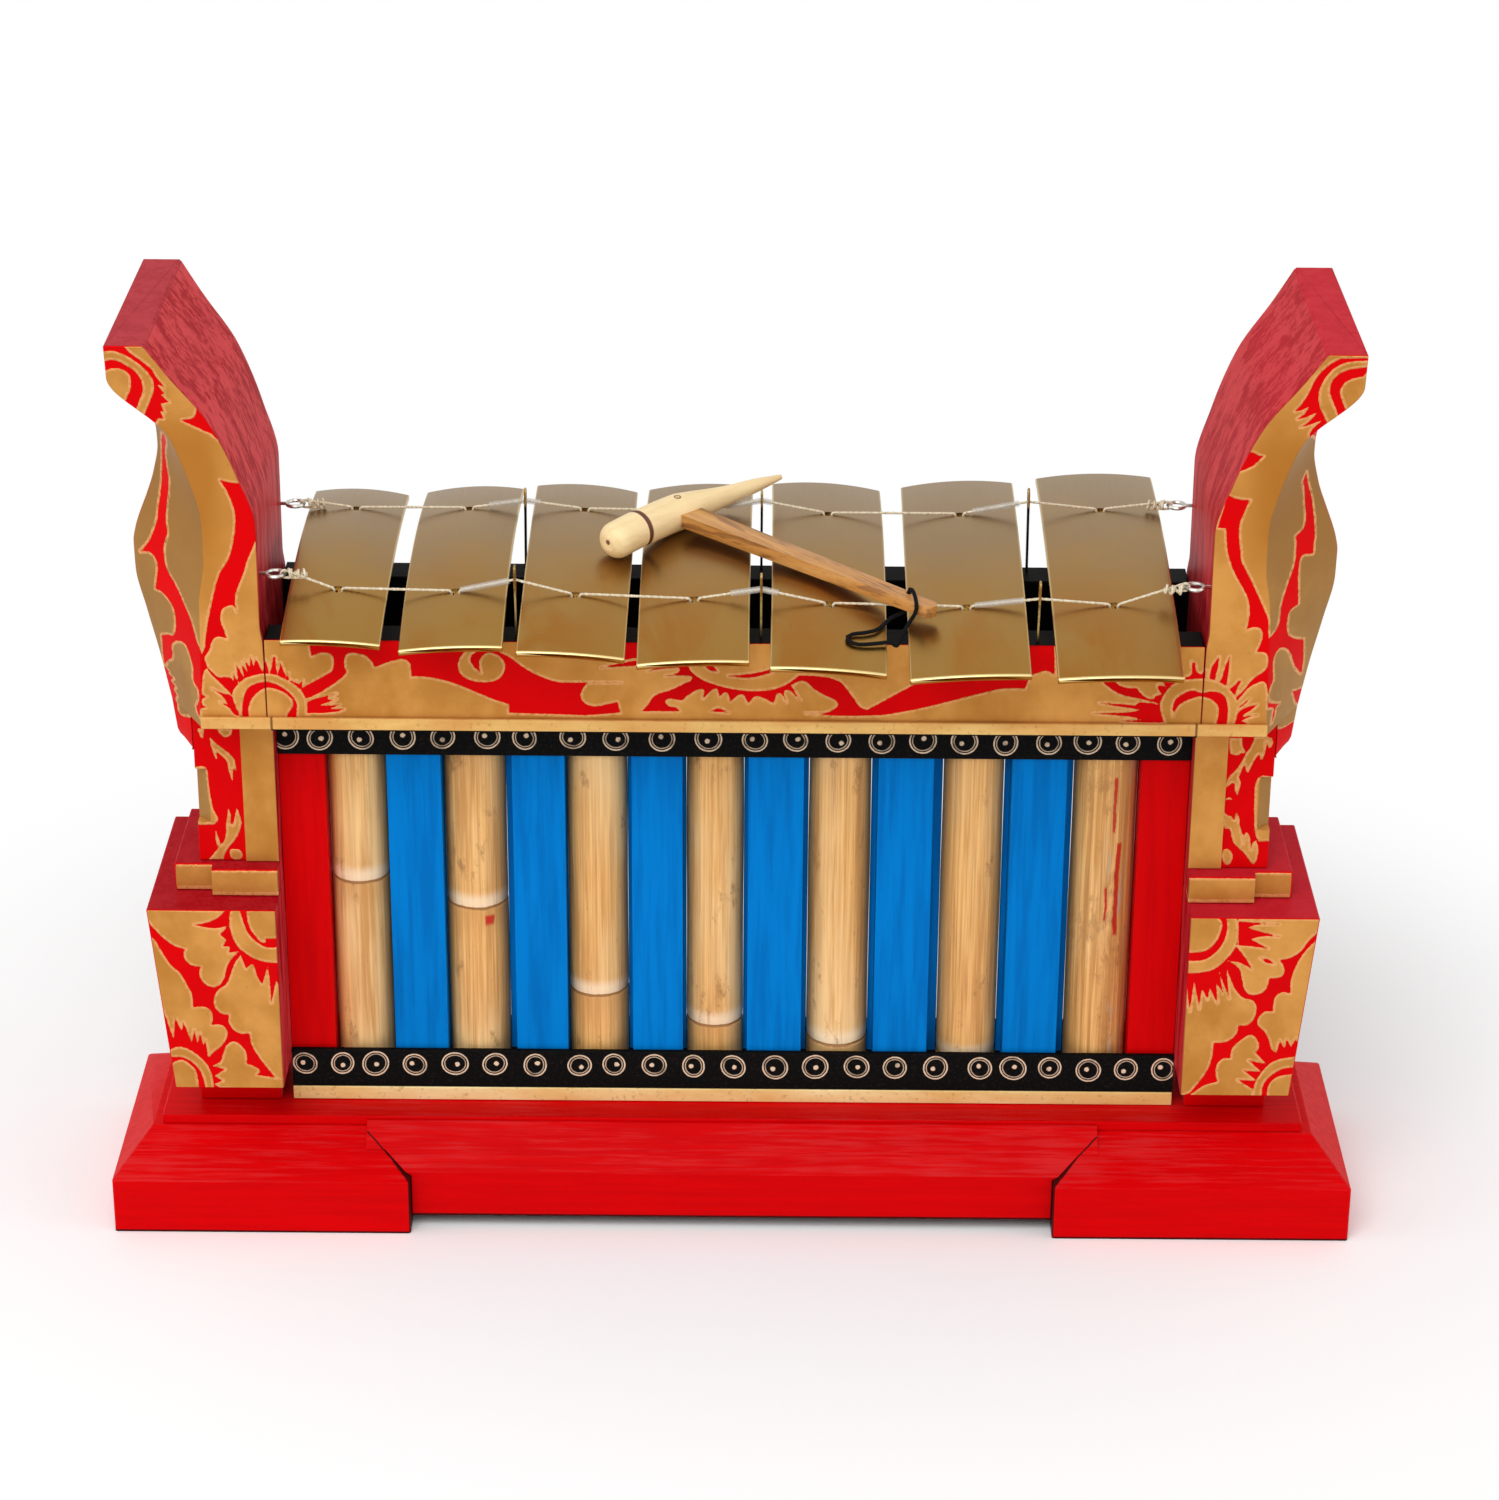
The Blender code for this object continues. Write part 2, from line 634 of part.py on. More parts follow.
def tube_plan():
    """Each resonator's place along the case, its radius and the height of its node."""
    tubes = zip(TUBE_CENTRES, TUBE_RADII, TUBE_NODE_HEIGHTS)
    return [(x * STRETCH, radius * STRETCH, node_height) for x, radius, node_height in tubes]


def make_case():
    rail_end = CASE_END - FIT_GAP
    inside = CASE_FACE - RAIL_THICKNESS
    rails = {}
    for face_name, face in FACES.items():
        near, far = sorted((face * inside, face * CASE_FACE))
        low, high = (-rail_end, near, CASE_BOTTOM), (rail_end, far, RAIL_TOP)
        rails[face_name] = box(f"{face_name}_rail", low, high, RED)
        seat = face * (CASE_FACE + FIT_GAP)
        near, far = sorted((seat, seat + face * MOLDING_THICKNESS))
        end = CASE_END + HORN_RIDGE[0][1]
        low, high = (-end, near, CASE_BOTTOM), (end, far, CASE_BOTTOM + MOLDING_HEIGHT)
        box(f"{face_name}_molding", low, high, GOLD)
    half = FLOOR_DEPTH / 2
    edge = [(-rail_end, -half), (rail_end, -half), (rail_end, half), (-rail_end, half)]
    holes = [circle((x, 0), radius + FIT_GAP, 24) for x, radius, _ in tube_plan()]
    level = (FLOOR_BOTTOM + COLUMN_TOP) / 2
    slab("case_floor", [edge, *holes], FLOOR_THICKNESS, BLACK, "XY", (0, 0, level))
    return rails


def make_grille():
    """The slats, with a tongue to each tube beside them that keeps light out, and the bands."""
    end = CASE_END - FIT_GAP
    slat_half = SLAT_DEPTH / 2
    levels = {
        "base_strip": (GRILLE_BOTTOM, STRIP_TOP, GOLD),
        "lower_band": (STRIP_TOP + FIT_GAP, STRIP_TOP + FIT_GAP + BAND_HEIGHT, BLACK),
        "upper_band": (GRILLE_TOP - BAND_HEIGHT, GRILLE_TOP, BLACK),
    }
    for face_name, face in FACES.items():
        seat = face * (slat_half + FIT_GAP)
        near, far = sorted((seat, seat + face * BAND_THICKNESS))
        for name, (bottom, top, surface) in levels.items():
            box(f"{face_name}_{name}", (-end, near, bottom), (end, far, top), surface)
    first, last = (x * STRETCH for x in END_SLAT_PLACES)
    slats = [(-end, first, RED)]
    slats += [(near * STRETCH, far * STRETCH, BLUE) for near, far in SLAT_PLACES]
    slats.append((last, end, RED))
    tubes = tube_plan()
    starts = [-end + TONGUE_INSET] + [x + radius + FIT_GAP for x, radius, _ in tubes]
    stops = [x - radius - FIT_GAP for x, radius, _ in tubes] + [end - TONGUE_INSET]
    tongue_half = TONGUE_THICKNESS / 2
    for index, (near, far, surface) in enumerate(slats):
        low, high = (near, -slat_half, GRILLE_BOTTOM), (far, slat_half, GRILLE_TOP)
        slat = box(f"slat_{index + 1}", low, high, surface)
        low = (starts[index], -tongue_half, GRILLE_BOTTOM + TONGUE_INSET)
        high = (stops[index], tongue_half, GRILLE_TOP - TONGUE_INSET)
        boolean(slat, box(f"slat_{index + 1}_tongue", low, high, None), "UNION")


def make_resonator(index, x, radius, node_height):
    """A bamboo tube, open above the wall at its node and hollow below it."""
    length = COLUMN_TOP - TUBE_SETBACK - GRILLE_BOTTOM
    bore = radius - TUBE_WALL
    above = node_height + DIAPHRAGM_THICKNESS / 2
    below = node_height - DIAPHRAGM_THICKNESS / 2
    groove = 2 * TUBE_GROOVE
    profile = [(0, above), (bore, above), (bore, length), (radius, length)]
    profile += [(radius, node_height + groove), (radius - TUBE_GROOVE, node_height)]
    profile += [(radius, node_height - groove), (radius, 0), (bore, 0), (bore, below), (0, below)]
    mesh = bpy.data.meshes.new(f"resonator_tube_{index}")
    count = len(profile)
    mesh.from_pydata([(r, 0, z) for r, z in profile], [(i, i + 1) for i in range(count - 1)], [])
    made = add(mesh.name, mesh, BAMBOO, Matrix.Translation((x, 0, GRILLE_BOTTOM)))
    turn = made.modifiers.new("turn", "SCREW")
    turn.steps = 20
    turn.render_steps = 20
    turn.use_merge_vertices = True
    turn.merge_threshold = 1e-5
    turn.use_smooth_shade = True


def plan_keys():
    """Each key with its name, size and frame, whose origin is the crown of its arch."""
    widths = [(KEY_WIDTH_FIRST + KEY_WIDTH_STEP * i) * STRETCH for i in range(KEY_COUNT)]
    gaps = [gap * STRETCH for gap in KEY_GAPS]
    left = KEY_ROW_OFFSET * STRETCH - (sum(widths) + sum(gaps)) / 2
    keys = []
    for index, width in enumerate(widths):
        x = left + width / 2
        left += width + sum(gaps[index:index + 1])
        pitch = KEY_PITCH_FIRST + (KEY_PITCH_LAST - KEY_PITCH_FIRST) * index / (KEY_COUNT - 1)
        frame = (
            Matrix.Translation((x, KEY_DEPTH_OFFSET, RAIL_TOP + KEY_CROWNS[index]))
            @ Matrix.Rotation(math.radians(KEY_YAW), 4, "Z")
            @ Matrix.Rotation(math.radians(pitch), 4, "X")
            @ Matrix.Rotation(math.radians(KEY_ROLLS[index]), 4, "Y")
        )
        length = KEY_LENGTH_FIRST + KEY_LENGTH_STEP * index
        keys.append(Key(f"key_{index + 1}", x, width, length, frame))
    return keys


def string_y(face_name, x):
    """Where a string runs, in plan."""
    if face_name == "front":
        return FRONT_STRING_Y + FRONT_STRING_SLOPE * x
    return BACK_STRING_Y + BACK_STRING_SLOPE * x


def key_rise(key, across, along):
    """Height of the arched top over its crown."""
    long_arch = KEY_LONG_ARCH * (2 * along / key.length) ** 2
    return -long_arch - KEY_CROSS_ARCH * (2 * across / key.width) ** 2


def hole_frame(key, face_name):
    """A frame on the key's top at a string hole: X across the key, Z out of the metal."""
    along = 0.0
    for _ in range(3):
        place = key.frame @ Vector((0, along, key_rise(key, 0, along)))
        along += string_y(face_name, place.x) - place.y
    slope = -8 * KEY_LONG_ARCH * along / key.length**2
    seat = Matrix.Translation((0, along, key_rise(key, 0, along)))
    return key.frame @ seat @ Matrix.Rotation(math.atan(slope), 4, "X")


def make_key(key):
    """An arched plate with two string holes, and under each hole the peg that the string holds."""
    shape = bmesh.new()
    bmesh.ops.create_grid(shape, x_segments=4, y_segments=12, size=0.5)
    for vertex in shape.verts:
        across, along = vertex.co.x * key.width, vertex.co.y * key.length
        bulge = KEY_END_BULGE * (1 - (2 * across / key.width) ** 2)
        rise = key_rise(key, across, along)
        vertex.co = (across, along * (1 + 2 * bulge / key.length), rise)
    mesh = bpy.data.meshes.new(key.name)
    shape.to_mesh(mesh)
    shape.free()
    plate = add(key.name, mesh, BRONZE, key.frame)
    wall = plate.modifiers.new("wall", "SOLIDIFY")
    wall.thickness = KEY_THICKNESS
    wall.offset = -1
    for face_name in FACES:
        frame = hole_frame(key, face_name)
        reach = 3 * KEY_THICKNESS
        bottom, top = frame @ Vector((0, 0, -reach)), frame @ Vector((0, 0, reach))
        boolean(plate, rod(f"{key.name}_{face_name}_hole", HOLE_RADIUS, bottom, top, None))
        level = -KEY_THICKNESS - PEG_RADIUS + PEG_BITE
        ends = [frame @ Vector((0, side * PEG_LENGTH / 2, level)) for side in (-1, 1)]
        peg = rod(f"{key.name}_{face_name}_peg", PEG_RADIUS, *ends, None, sides=8)
        boolean(plate, peg, "UNION")


def post_places(keys):
    """The middles of the gaps in which the string posts stand."""
    places = []
    for count in POST_AFTER_KEYS:
        before, after = keys[count - 1], keys[count]
        places.append((before.x + before.width / 2 + after.x - after.width / 2) / 2)
    return places


def post_frame(face_name, x, string_height):
    """A frame at a post's foot on the rail, leaning out so that its Z axis meets the string."""
    face = FACES[face_name]
    at_string = Vector((x, string_y(face_name, x), RAIL_TOP + string_height))
    foot = Vector((x, at_string.y - face * POST_LEAN, RAIL_TOP))
    lean = math.atan2(at_string.y - foot.y, string_height)
    return Matrix.Translation(foot) @ Matrix.Rotation(-lean, 4, "X"), (at_string - foot).length


def make_string_posts(keys, rails):
    """Hairpins of wire set in the rails, each with the string through its loop."""
    heights = {"front": FRONT_POST_STRING_HEIGHTS, "back": BACK_POST_STRING_HEIGHTS}
    rises = {"front": FRONT_POST_RISES, "back": BACK_POST_RISES}
    loop = STRING_RADIUS + STRING_GAP + POST_WIRE_RADIUS
    for face_name, rail in rails.items():
        for index, x in enumerate(post_places(keys)):
            frame, reach = post_frame(face_name, x, heights[face_name][index])
            top = reach + rises[face_name][index] - POST_WIRE_RADIUS
            leg = [(POST_LEG_SPREAD, -POST_SINK), (POST_LEG_SPREAD, reach - POST_NECK)]
            leg += [(loop, reach - POST_NECK / 4), (loop, top - loop)]
            bend = [math.radians(angle) for angle in (30, 60, 90)]
            leg += [(loop * math.cos(a), top - loop + loop * math.sin(a)) for a in bend]
            loop_points = leg + [(-y, z) for y, z in reversed(leg[:-1])]
            name = f"{face_name}_string_post_{index + 1}"
            points = [(0, y, z) for y, z in loop_points]
            tube(name, points, POST_WIRE_RADIUS, BRASS_WIRE).matrix_world = frame
            bore = POST_LEG_SPREAD + POST_WIRE_RADIUS + FIT_GAP
            depth = POST_SINK + FIT_GAP
            bottom, mouth = frame @ Vector((0, 0, -depth)), frame @ Vector((0, 0, depth))
            boolean(rail, rod(f"{name}_pocket", bore, bottom, mouth, None, sides=8))


def eye_place(face_name, side):
    """The middle of a screw eye's ring."""
    x = side * (CASE_END - EYE_REACH)
    y = string_y(face_name, x)
    if face_name == "front":
        y = max(y, EYE_EDGE - CASE_FACE)
    front_height, back_height = LEFT_EYE_HEIGHTS if side < 0 else RIGHT_EYE_HEIGHTS
    height = front_height if face_name == "front" else back_height
    return Vector((x, y, RAIL_TOP + height))


def ring(name, radius, wire_radius, middle, surface):
    """A wire ring that lies level."""
    bpy.ops.mesh.primitive_torus_add(
        major_segments=16, minor_segments=6, major_radius=radius, minor_radius=wire_radius
    )
    made = bpy.context.object
    mesh = made.data
    bpy.data.objects.remove(made, do_unlink=True)
    mesh.shade_smooth()
    return add(name, mesh, surface, Matrix.Translation(middle))


def make_screw_eyes(horns):
    for side_name, side in SIDES.items():
        for face_name in FACES:
            middle = eye_place(face_name, side)
            name = f"{face_name}_screw_eye_{side_name}"
            eye = ring(name, EYE_RING_RADIUS, EYE_WIRE_RADIUS, middle, STEEL)
            inner_face = side * (CASE_END + smooth_value(HORN_INNER, middle.z - CASE_BOTTOM))
            start = middle + Vector((side * EYE_RING_RADIUS, 0, 0))
            end = Vector((inner_face + side * EYE_SHANK_SINK, middle.y, middle.z))
            boolean(eye, rod(f"{name}_shank", EYE_WIRE_RADIUS, start, end, None, sides=8), "UNION")
            deep = end + Vector((side * FIT_GAP, 0, 0))
            hole = rod(f"{name}_hole", EYE_WIRE_RADIUS + FIT_GAP, start, deep, None, sides=8)
            boolean(horns[side_name], hole)


def string_route(face_name, keys):
    """The string's middle line: round each end's ring, down and up through each key's hole, and
    through each post."""
    heights = FRONT_POST_STRING_HEIGHTS if face_name == "front" else BACK_POST_STRING_HEIGHTS
    posts = dict(zip(POST_AFTER_KEYS, zip(post_places(keys), heights)))
    turn = PEG_RADIUS + STRING_GAP + STRING_RADIUS
    over = STRING_RADIUS + STRING_GAP
    slant = over / math.sqrt(2)
    route = []
    for count, key in enumerate(keys, start=1):
        frame = hole_frame(key, face_name)
        level = -KEY_THICKNESS - PEG_RADIUS + PEG_BITE
        down = [(-HOLE_RADIUS, over), (slant - HOLE_RADIUS, slant), (-turn, 0), (-turn, level)]
        bend = [math.radians(angle) for angle in (225, 270, 315)]
        under = [(turn * math.cos(a), level + turn * math.sin(a)) for a in bend]
        crossing = down + under + [(-x, z) for x, z in reversed(down)]
        route += [frame @ Vector((x, 0, z)) for x, z in crossing]
        if count in posts:
            x, height = posts[count]
            route.append(Vector((x, string_y(face_name, x), RAIL_TOP + height)))
    return end_hook(face_name, -1)[::-1] + route + end_hook(face_name, 1)


def end_hook(face_name, side):
    """The string's end: over the ring's near wire, down through the ring and back as a short tail."""
    middle = eye_place(face_name, side)
    wire = middle - Vector((side * EYE_RING_RADIUS, 0, 0))
    turn = EYE_WIRE_RADIUS + STRING_GAP + STRING_RADIUS
    points = []
    for degrees in (90, 35, -35, -90):
        a = math.radians(degrees)
        points.append(wire + Vector((side * turn * math.cos(a), 0, turn * math.sin(a))))
    points.append(wire + Vector((-side * STRING_TAIL, 0, -turn)))
    return points


def on_keys(place):
    """A point of the mallet or its cord, whose height is given above the rails."""
    return Vector((place[0] * STRETCH, place[1], RAIL_TOP + place[2]))


def head_profile(grow):
    """The head's stations: distance along its middle line and radius."""
    stations = []
    for share in (0.0, 0.12, 0.35, 0.7, 1.0):
        short = HEAD_DOME_FALL * (1 - share) ** 2
        stations.append((HEAD_DOME * share, HEAD_RADIUS * (1 - short)))
    half = HEAD_GROOVE_WIDTH / 2
    stations.append((HEAD_GROOVE_AT - half, HEAD_RADIUS))
    stations.append((HEAD_GROOVE_AT, HEAD_RADIUS - HEAD_GROOVE_DEPTH))
    stations.append((HEAD_GROOVE_AT + half, HEAD_RADIUS))
    stations.append((HEAD_TAPER_START, HEAD_RADIUS))
    return [(s, r + grow) for s, r in stations]


def head_tube(name, grow=0.0):
    """The mallet's head: a turned bar on a curved middle line, thick to the blunt end."""
    line = smooth_route([on_keys(place) for place in HEAD_ROUTE], HEAD_SAMPLES)
    length = sum((b - a).length for a, b in zip(line, line[1:]))
    taper = [(HEAD_TAPER_START, HEAD_RADIUS), (HEAD_NECK_AT, HEAD_NECK_RADIUS)]
    taper.append((length, HEAD_TIP_RADIUS))
    stations = head_profile(grow)
    for step in range(1, HEAD_TAPER_STEPS + 1):
        s = HEAD_TAPER_START + (length - HEAD_TAPER_START) * step / HEAD_TAPER_STEPS
        stations.append((s, smooth_value(taper, s) + grow))
    points = [line[round(s / length * (HEAD_SAMPLES - 1))] for s, _ in stations]
    radii = [r for _, r in stations]
    return tube(name, points, HEAD_RADIUS, PALE_WOOD, radii, resolution=5), line, length


def make_mallet():
    """A curved wooden head with a flat handle tenoned into its side, and the cord's hole."""
    curve, line, length = head_tube("mallet_head")
    head = solid_of_curve(curve, PALE_WOOD, 40)
    grown, _, _ = head_tube("handle_saddle", FIT_GAP)
    saddle = solid_of_curve(grown, None)
    joint = line[round(SOCKET_AT / length * (len(line) - 1))]
    end = on_keys(HANDLE_END)
    along = (end - joint).normalized()
    across = Vector((0, 0, 1)).cross(along).normalized()
    turn = Matrix((along, across, along.cross(across))).transposed().to_4x4()
    frame = Matrix.Translation(joint) @ turn
    reach = (end - joint).length

    start = HEAD_RADIUS / 2
    round_end = HANDLE_WIDTH_END / 2
    outline = [(start, -HANDLE_WIDTH / 2)]
    turns = [math.radians(angle) for angle in range(-90, 91, 20)]
    outline += [(reach - round_end + round_end * math.cos(a), round_end * math.sin(a)) for a in turns]
    outline += [(start, HANDLE_WIDTH / 2)]
    handle = slab("mallet_handle", [outline], HANDLE_THICKNESS, BROWN_WOOD)
    for vertex in handle.data.vertices:
        share = 1 - (1 - HANDLE_THICKNESS_END / HANDLE_THICKNESS) * vertex.co.x / reach
        vertex.co.z *= share
    handle.matrix_world = frame
    edges = handle.modifiers.new("edges", "BEVEL")
    edges.width = HANDLE_ROUNDING
    edges.segments = 2
    edges.limit_method = "ANGLE"
    edges.angle_limit = math.radians(50)
    boolean(handle, saddle)
    tenon_start = HEAD_RADIUS - TENON_DEPTH
    tenon_ends = [frame @ Vector((s, 0, 0)) for s in (tenon_start, HEAD_RADIUS + TENON_DEPTH)]
    boolean(handle, rod("tenon", TENON_RADIUS, *tenon_ends, None), "UNION")
    hole = on_keys(CORD_ROUTE[0])
    hole_ends = [hole + Vector((0, 0, side * HANDLE_THICKNESS)) for side in (-1, 1)]
    hole_radius = CORD_RADIUS + CORD_CLEARANCE
    boolean(handle, rod("cord_hole", hole_radius, *hole_ends, None, sides=10))
    socket_ends = [frame @ Vector((s, 0, 0)) for s in (tenon_start - FIT_GAP, 2 * HEAD_RADIUS)]
    boolean(head, rod("socket", TENON_RADIUS + FIT_GAP, *socket_ends, None))

    make_wrist_cord()
    grip = bpy.data.objects.new("mallet", None)
    grip.location = joint
    PARTS.objects.link(grip)
    bpy.context.view_layer.update()
    for name in ("mallet_head", "mallet_handle", "wrist_cord"):
        piece = bpy.data.objects[name]
        placed = piece.matrix_world.copy()
        piece.parent = grip
        piece.matrix_world = placed


def make_wrist_cord():
    """A limp loop of cord: out of the hole's top, over the handle's side, down between two keys,
    across one of them and back up into the hole from below."""
    points = smooth_route([on_keys(place) for place in CORD_ROUTE], CORD_POINTS)
    tube("wrist_cord", points, CORD_RADIUS, CORD)


def main():
    make_base()
    for side_name, side in SIDES.items():
        make_end_support(side_name, side)
    horns = {side_name: make_horn(side_name, side) for side_name, side in SIDES.items()}
    rails = make_case()
    make_grille()
    for index, (x, radius, node_height) in enumerate(tube_plan(), start=1):
        make_resonator(index, x, radius, node_height)
    keys = plan_keys()
    for key in keys:
        make_key(key)
    make_string_posts(keys, rails)
    make_screw_eyes(horns)
    for face_name in FACES:
        tube(f"{face_name}_string", string_route(face_name, keys), STRING_RADIUS, STRING)
    make_mallet()


main()
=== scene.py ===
"""Paint, wood, brass and cord for a seven-key metallophone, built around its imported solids.

Metres, +Z up, in the frame of the solids: the front faces -Y.
"""

import math
from collections import namedtuple

import bmesh
import bpy
import numpy as np
from mathutils import Matrix, Vector


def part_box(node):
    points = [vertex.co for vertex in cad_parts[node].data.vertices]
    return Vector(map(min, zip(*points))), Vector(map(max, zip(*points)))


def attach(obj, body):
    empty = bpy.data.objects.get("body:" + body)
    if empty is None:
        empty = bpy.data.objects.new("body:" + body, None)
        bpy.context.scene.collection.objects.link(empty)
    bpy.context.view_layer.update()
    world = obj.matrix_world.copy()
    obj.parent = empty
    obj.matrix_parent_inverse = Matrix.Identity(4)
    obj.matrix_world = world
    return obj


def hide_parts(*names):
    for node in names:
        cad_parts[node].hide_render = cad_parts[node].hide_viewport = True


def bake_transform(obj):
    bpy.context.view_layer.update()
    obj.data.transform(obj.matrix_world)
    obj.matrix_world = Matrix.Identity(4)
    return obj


bl_info = {
    "name": "Metallophone Finishes",
    "version": (1, 0, 0),
    "blender": (4, 5, 0),
    "location": "View3D > Sidebar > Metallophone",
    "description": "Builds the painted case, brass keys, strings and mallet of a metallophone",
    "category": "Object",
}

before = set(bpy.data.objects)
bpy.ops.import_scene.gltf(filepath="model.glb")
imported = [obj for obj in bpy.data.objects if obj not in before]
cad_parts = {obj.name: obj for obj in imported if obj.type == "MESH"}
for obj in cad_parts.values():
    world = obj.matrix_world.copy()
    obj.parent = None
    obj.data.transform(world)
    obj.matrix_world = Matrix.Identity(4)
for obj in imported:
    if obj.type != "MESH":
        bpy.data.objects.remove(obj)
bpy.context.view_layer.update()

SIDES = {"left": -1, "right": 1}
FACES = {"front": -1, "back": 1}
KEY_COUNT = 7

# The photograph's camera, in metres and degrees
CAMERA_PLACE = (0.011873, -1.877827, 1.115373)
CAMERA_PITCH = 24.7226
CAMERA_YAW = 0.1249
CAMERA_ROLL = 0.3842
CAMERA_LENS = 96.0
SENSOR = 36.0

# Where the lights are aimed, and between which distances the floor turns white, in metres
LIT_MIDDLE = (0, 0, 0.25)
SHADOW_REACH = (0.36, 0.66)

# The wrist cord's route, as the solids have it: x, y and the height above the rails
RAIL_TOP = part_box("front_rail")[1].z
CORD_POINTS = 42
CORD_ROUTE = (
    (0.0860, -0.0525, 0.0252),
    (0.0860, -0.0525, 0.0272),
    (0.0860, -0.0525, 0.0290),
    (0.0866, -0.0542, 0.0309),
    (0.0876, -0.0576, 0.0315),
    (0.0887, -0.0616, 0.0302),
    (0.0894, -0.0651, 0.0271),
    (0.0891, -0.0656, 0.0236),
    (0.0880, -0.0643, 0.0205),
    (0.0859, -0.0637, 0.0166),
    (0.0840, -0.0642, 0.0130),
    (0.0820, -0.0670, 0.0094),
    (0.0804, -0.0710, 0.0080),
    (0.0788, -0.0752, 0.0096),
    (0.0766, -0.0774, 0.0123),
    (0.0724, -0.0792, 0.0126),
    (0.0665, -0.0814, 0.0129),
    (0.0605, -0.0826, 0.0132),
    (0.0560, -0.0808, 0.0141),
    (0.0554, -0.0774, 0.0149),
    (0.0586, -0.0746, 0.0153),
    (0.0640, -0.0728, 0.0152),
    (0.0700, -0.0690, 0.0152),
    (0.0738, -0.0630, 0.0157),
    (0.0775, -0.0574, 0.0169),
    (0.0818, -0.0537, 0.0173),
    (0.0845, -0.0527, 0.0183),
    (0.0858, -0.0525, 0.0202),
    (0.0860, -0.0525, 0.0220),
    (0.0860, -0.0525, 0.0240),
)

MM = 0.001

# The case: its end blocks start at CASE_END and its rails at SEAT
CASE_END = 0.234
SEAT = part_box("front_rail")[0].z
CASE_FACE = 0.052
FIT_GAP = 0.0003
SLAT_LOW, SLAT_HIGH = 0.0758, 0.2558
BAND_MIDDLES = {"upper": 0.2658, "lower": 0.0753}

# Horn posts: height above the seat, distance outward from the case's end
HORN_INNER = ((0, 0), (0.045, 0.0003), (0.056, 0.0014), (0.107, 0.0012), (0.135, 0.0085),
              (0.165, 0.0206), (0.190, 0.0380), (0.2063, 0.0487))
HORN_RIDGE = ((0, 0.0330), (0.040, 0.0315), (0.067, 0.0307), (0.090, 0.0274), (0.104, 0.0273),
              (0.115, 0.0280), (0.129, 0.0311), (0.143, 0.0352), (0.155, 0.0394), (0.161, 0.0430),
              (0.189, 0.0676), (0.2063, 0.0676))
HORN_WING = ((0, 0.0530), (0.0258, 0.0578), (0.0488, 0.0629), (0.0717, 0.0674), (0.0854, 0.0676),
             (0.0930, 0.0662), (0.099, 0.0643), (0.1114, 0.0594), (0.1226, 0.0556), (0.138, 0.0527),
             (0.146, 0.0530), (0.189, 0.0676), (0.2063, 0.0676))
HORN_HEIGHT = 0.2063
HORN_FLARE = 0.107
WING_HALF = 0.015
TAIL_LENGTH = 0.023
TAIL_ROUND = 0.0063

# Columns, with the heights between which they are chamfered; stepped blocks, by their reach on
# either side of the step; lower blocks, by their reach at the pedestal and at the top
COLUMN_LENGTH = 0.0412
COLUMN_DEPTH = 0.0588
COLUMN_STRIP = 0.0173
CHAMFER = (0.0217, 0.0517)
CHAMFER_LEVELS = (0.0215, 0.0219, 0.0515, 0.052)
STEP_RUNS = ((0, 0.034), (0.0344, 0.054))
STEP_DEPTHS = (0.0397, 0.033)
PEDESTAL_HEIGHT = 0.0266
BLOCK_REACH = (0.0567, 0.0663)
BLOCK_DEEP = 0.0556

# How far distances from the gold's edge are followed, in millimetres, and the size of the cells
# that carry the ornament, in metres
REACH = 4.0
ORNAMENT_CELL = 0.00085

# The base: the feet's inner ends, their wall and the slope of their hip, and the board's underside
FOOT_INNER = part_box("foot_block_right")[0].x
FOOT_WALL = 0.0307
HIP_RISE = 0.0173
HIP_SLOPE = 0.0240 / HIP_RISE
BOARD_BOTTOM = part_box("base_board")[0].z

# Resonators: place along the case, radius and the node's height, in metres
TUBES = ((-0.1950, 0.0150, 0.1799), (-0.1343, 0.0158, 0.1653), (-0.0710, 0.0154, 0.1143),
         (-0.0098, 0.0147, 0.0963), (0.0550, 0.0160, 0.0860), (0.1240, 0.0157, 0.0776),
         (0.1922, 0.0164, 0.0706))
TUBE_WALL = 0.0024
TUBE_RIM = 0.0009

# How much fuller the tubes are in the picture than in the model, against light beside them
TUBE_FULLNESS = 0.00028

# Splashes of red on a tube: top, place across, length and half width, in metres
RED_SPOTS = {2: ((0.160, 0.006, 0.004, 0.0024),),
             7: ((0.243, 0.004, 0.030, 0.0010), (0.205, 0.007, 0.052, 0.0014),
                 (0.180, 0.002, 0.018, 0.0008))}

# Painted rings on the black bands, in millimetres along the case
UPPER_RINGS = (-229.5, -211.6, -190.6, -169.4, -148.8, -126.3, -107.1, -82.3, -60.4, -36.9, -13.4,
               10.1, 31.3, 53.2, 75.4, 96.4, 117.6, 138.7, 160.7, 180.6, 201.0, 222.4)
LOWER_RINGS = (-226.9, -206.8, -189.5, -168.6, -147.3, -126.1, -104.3, -81.0, -62.9, -41.7, -20.7,
               0.2, 22.8, 43.7, 66.0, 86.1, 107.6, 131.0, 148.7, 168.4, 188.5, 208.4, 228.3)

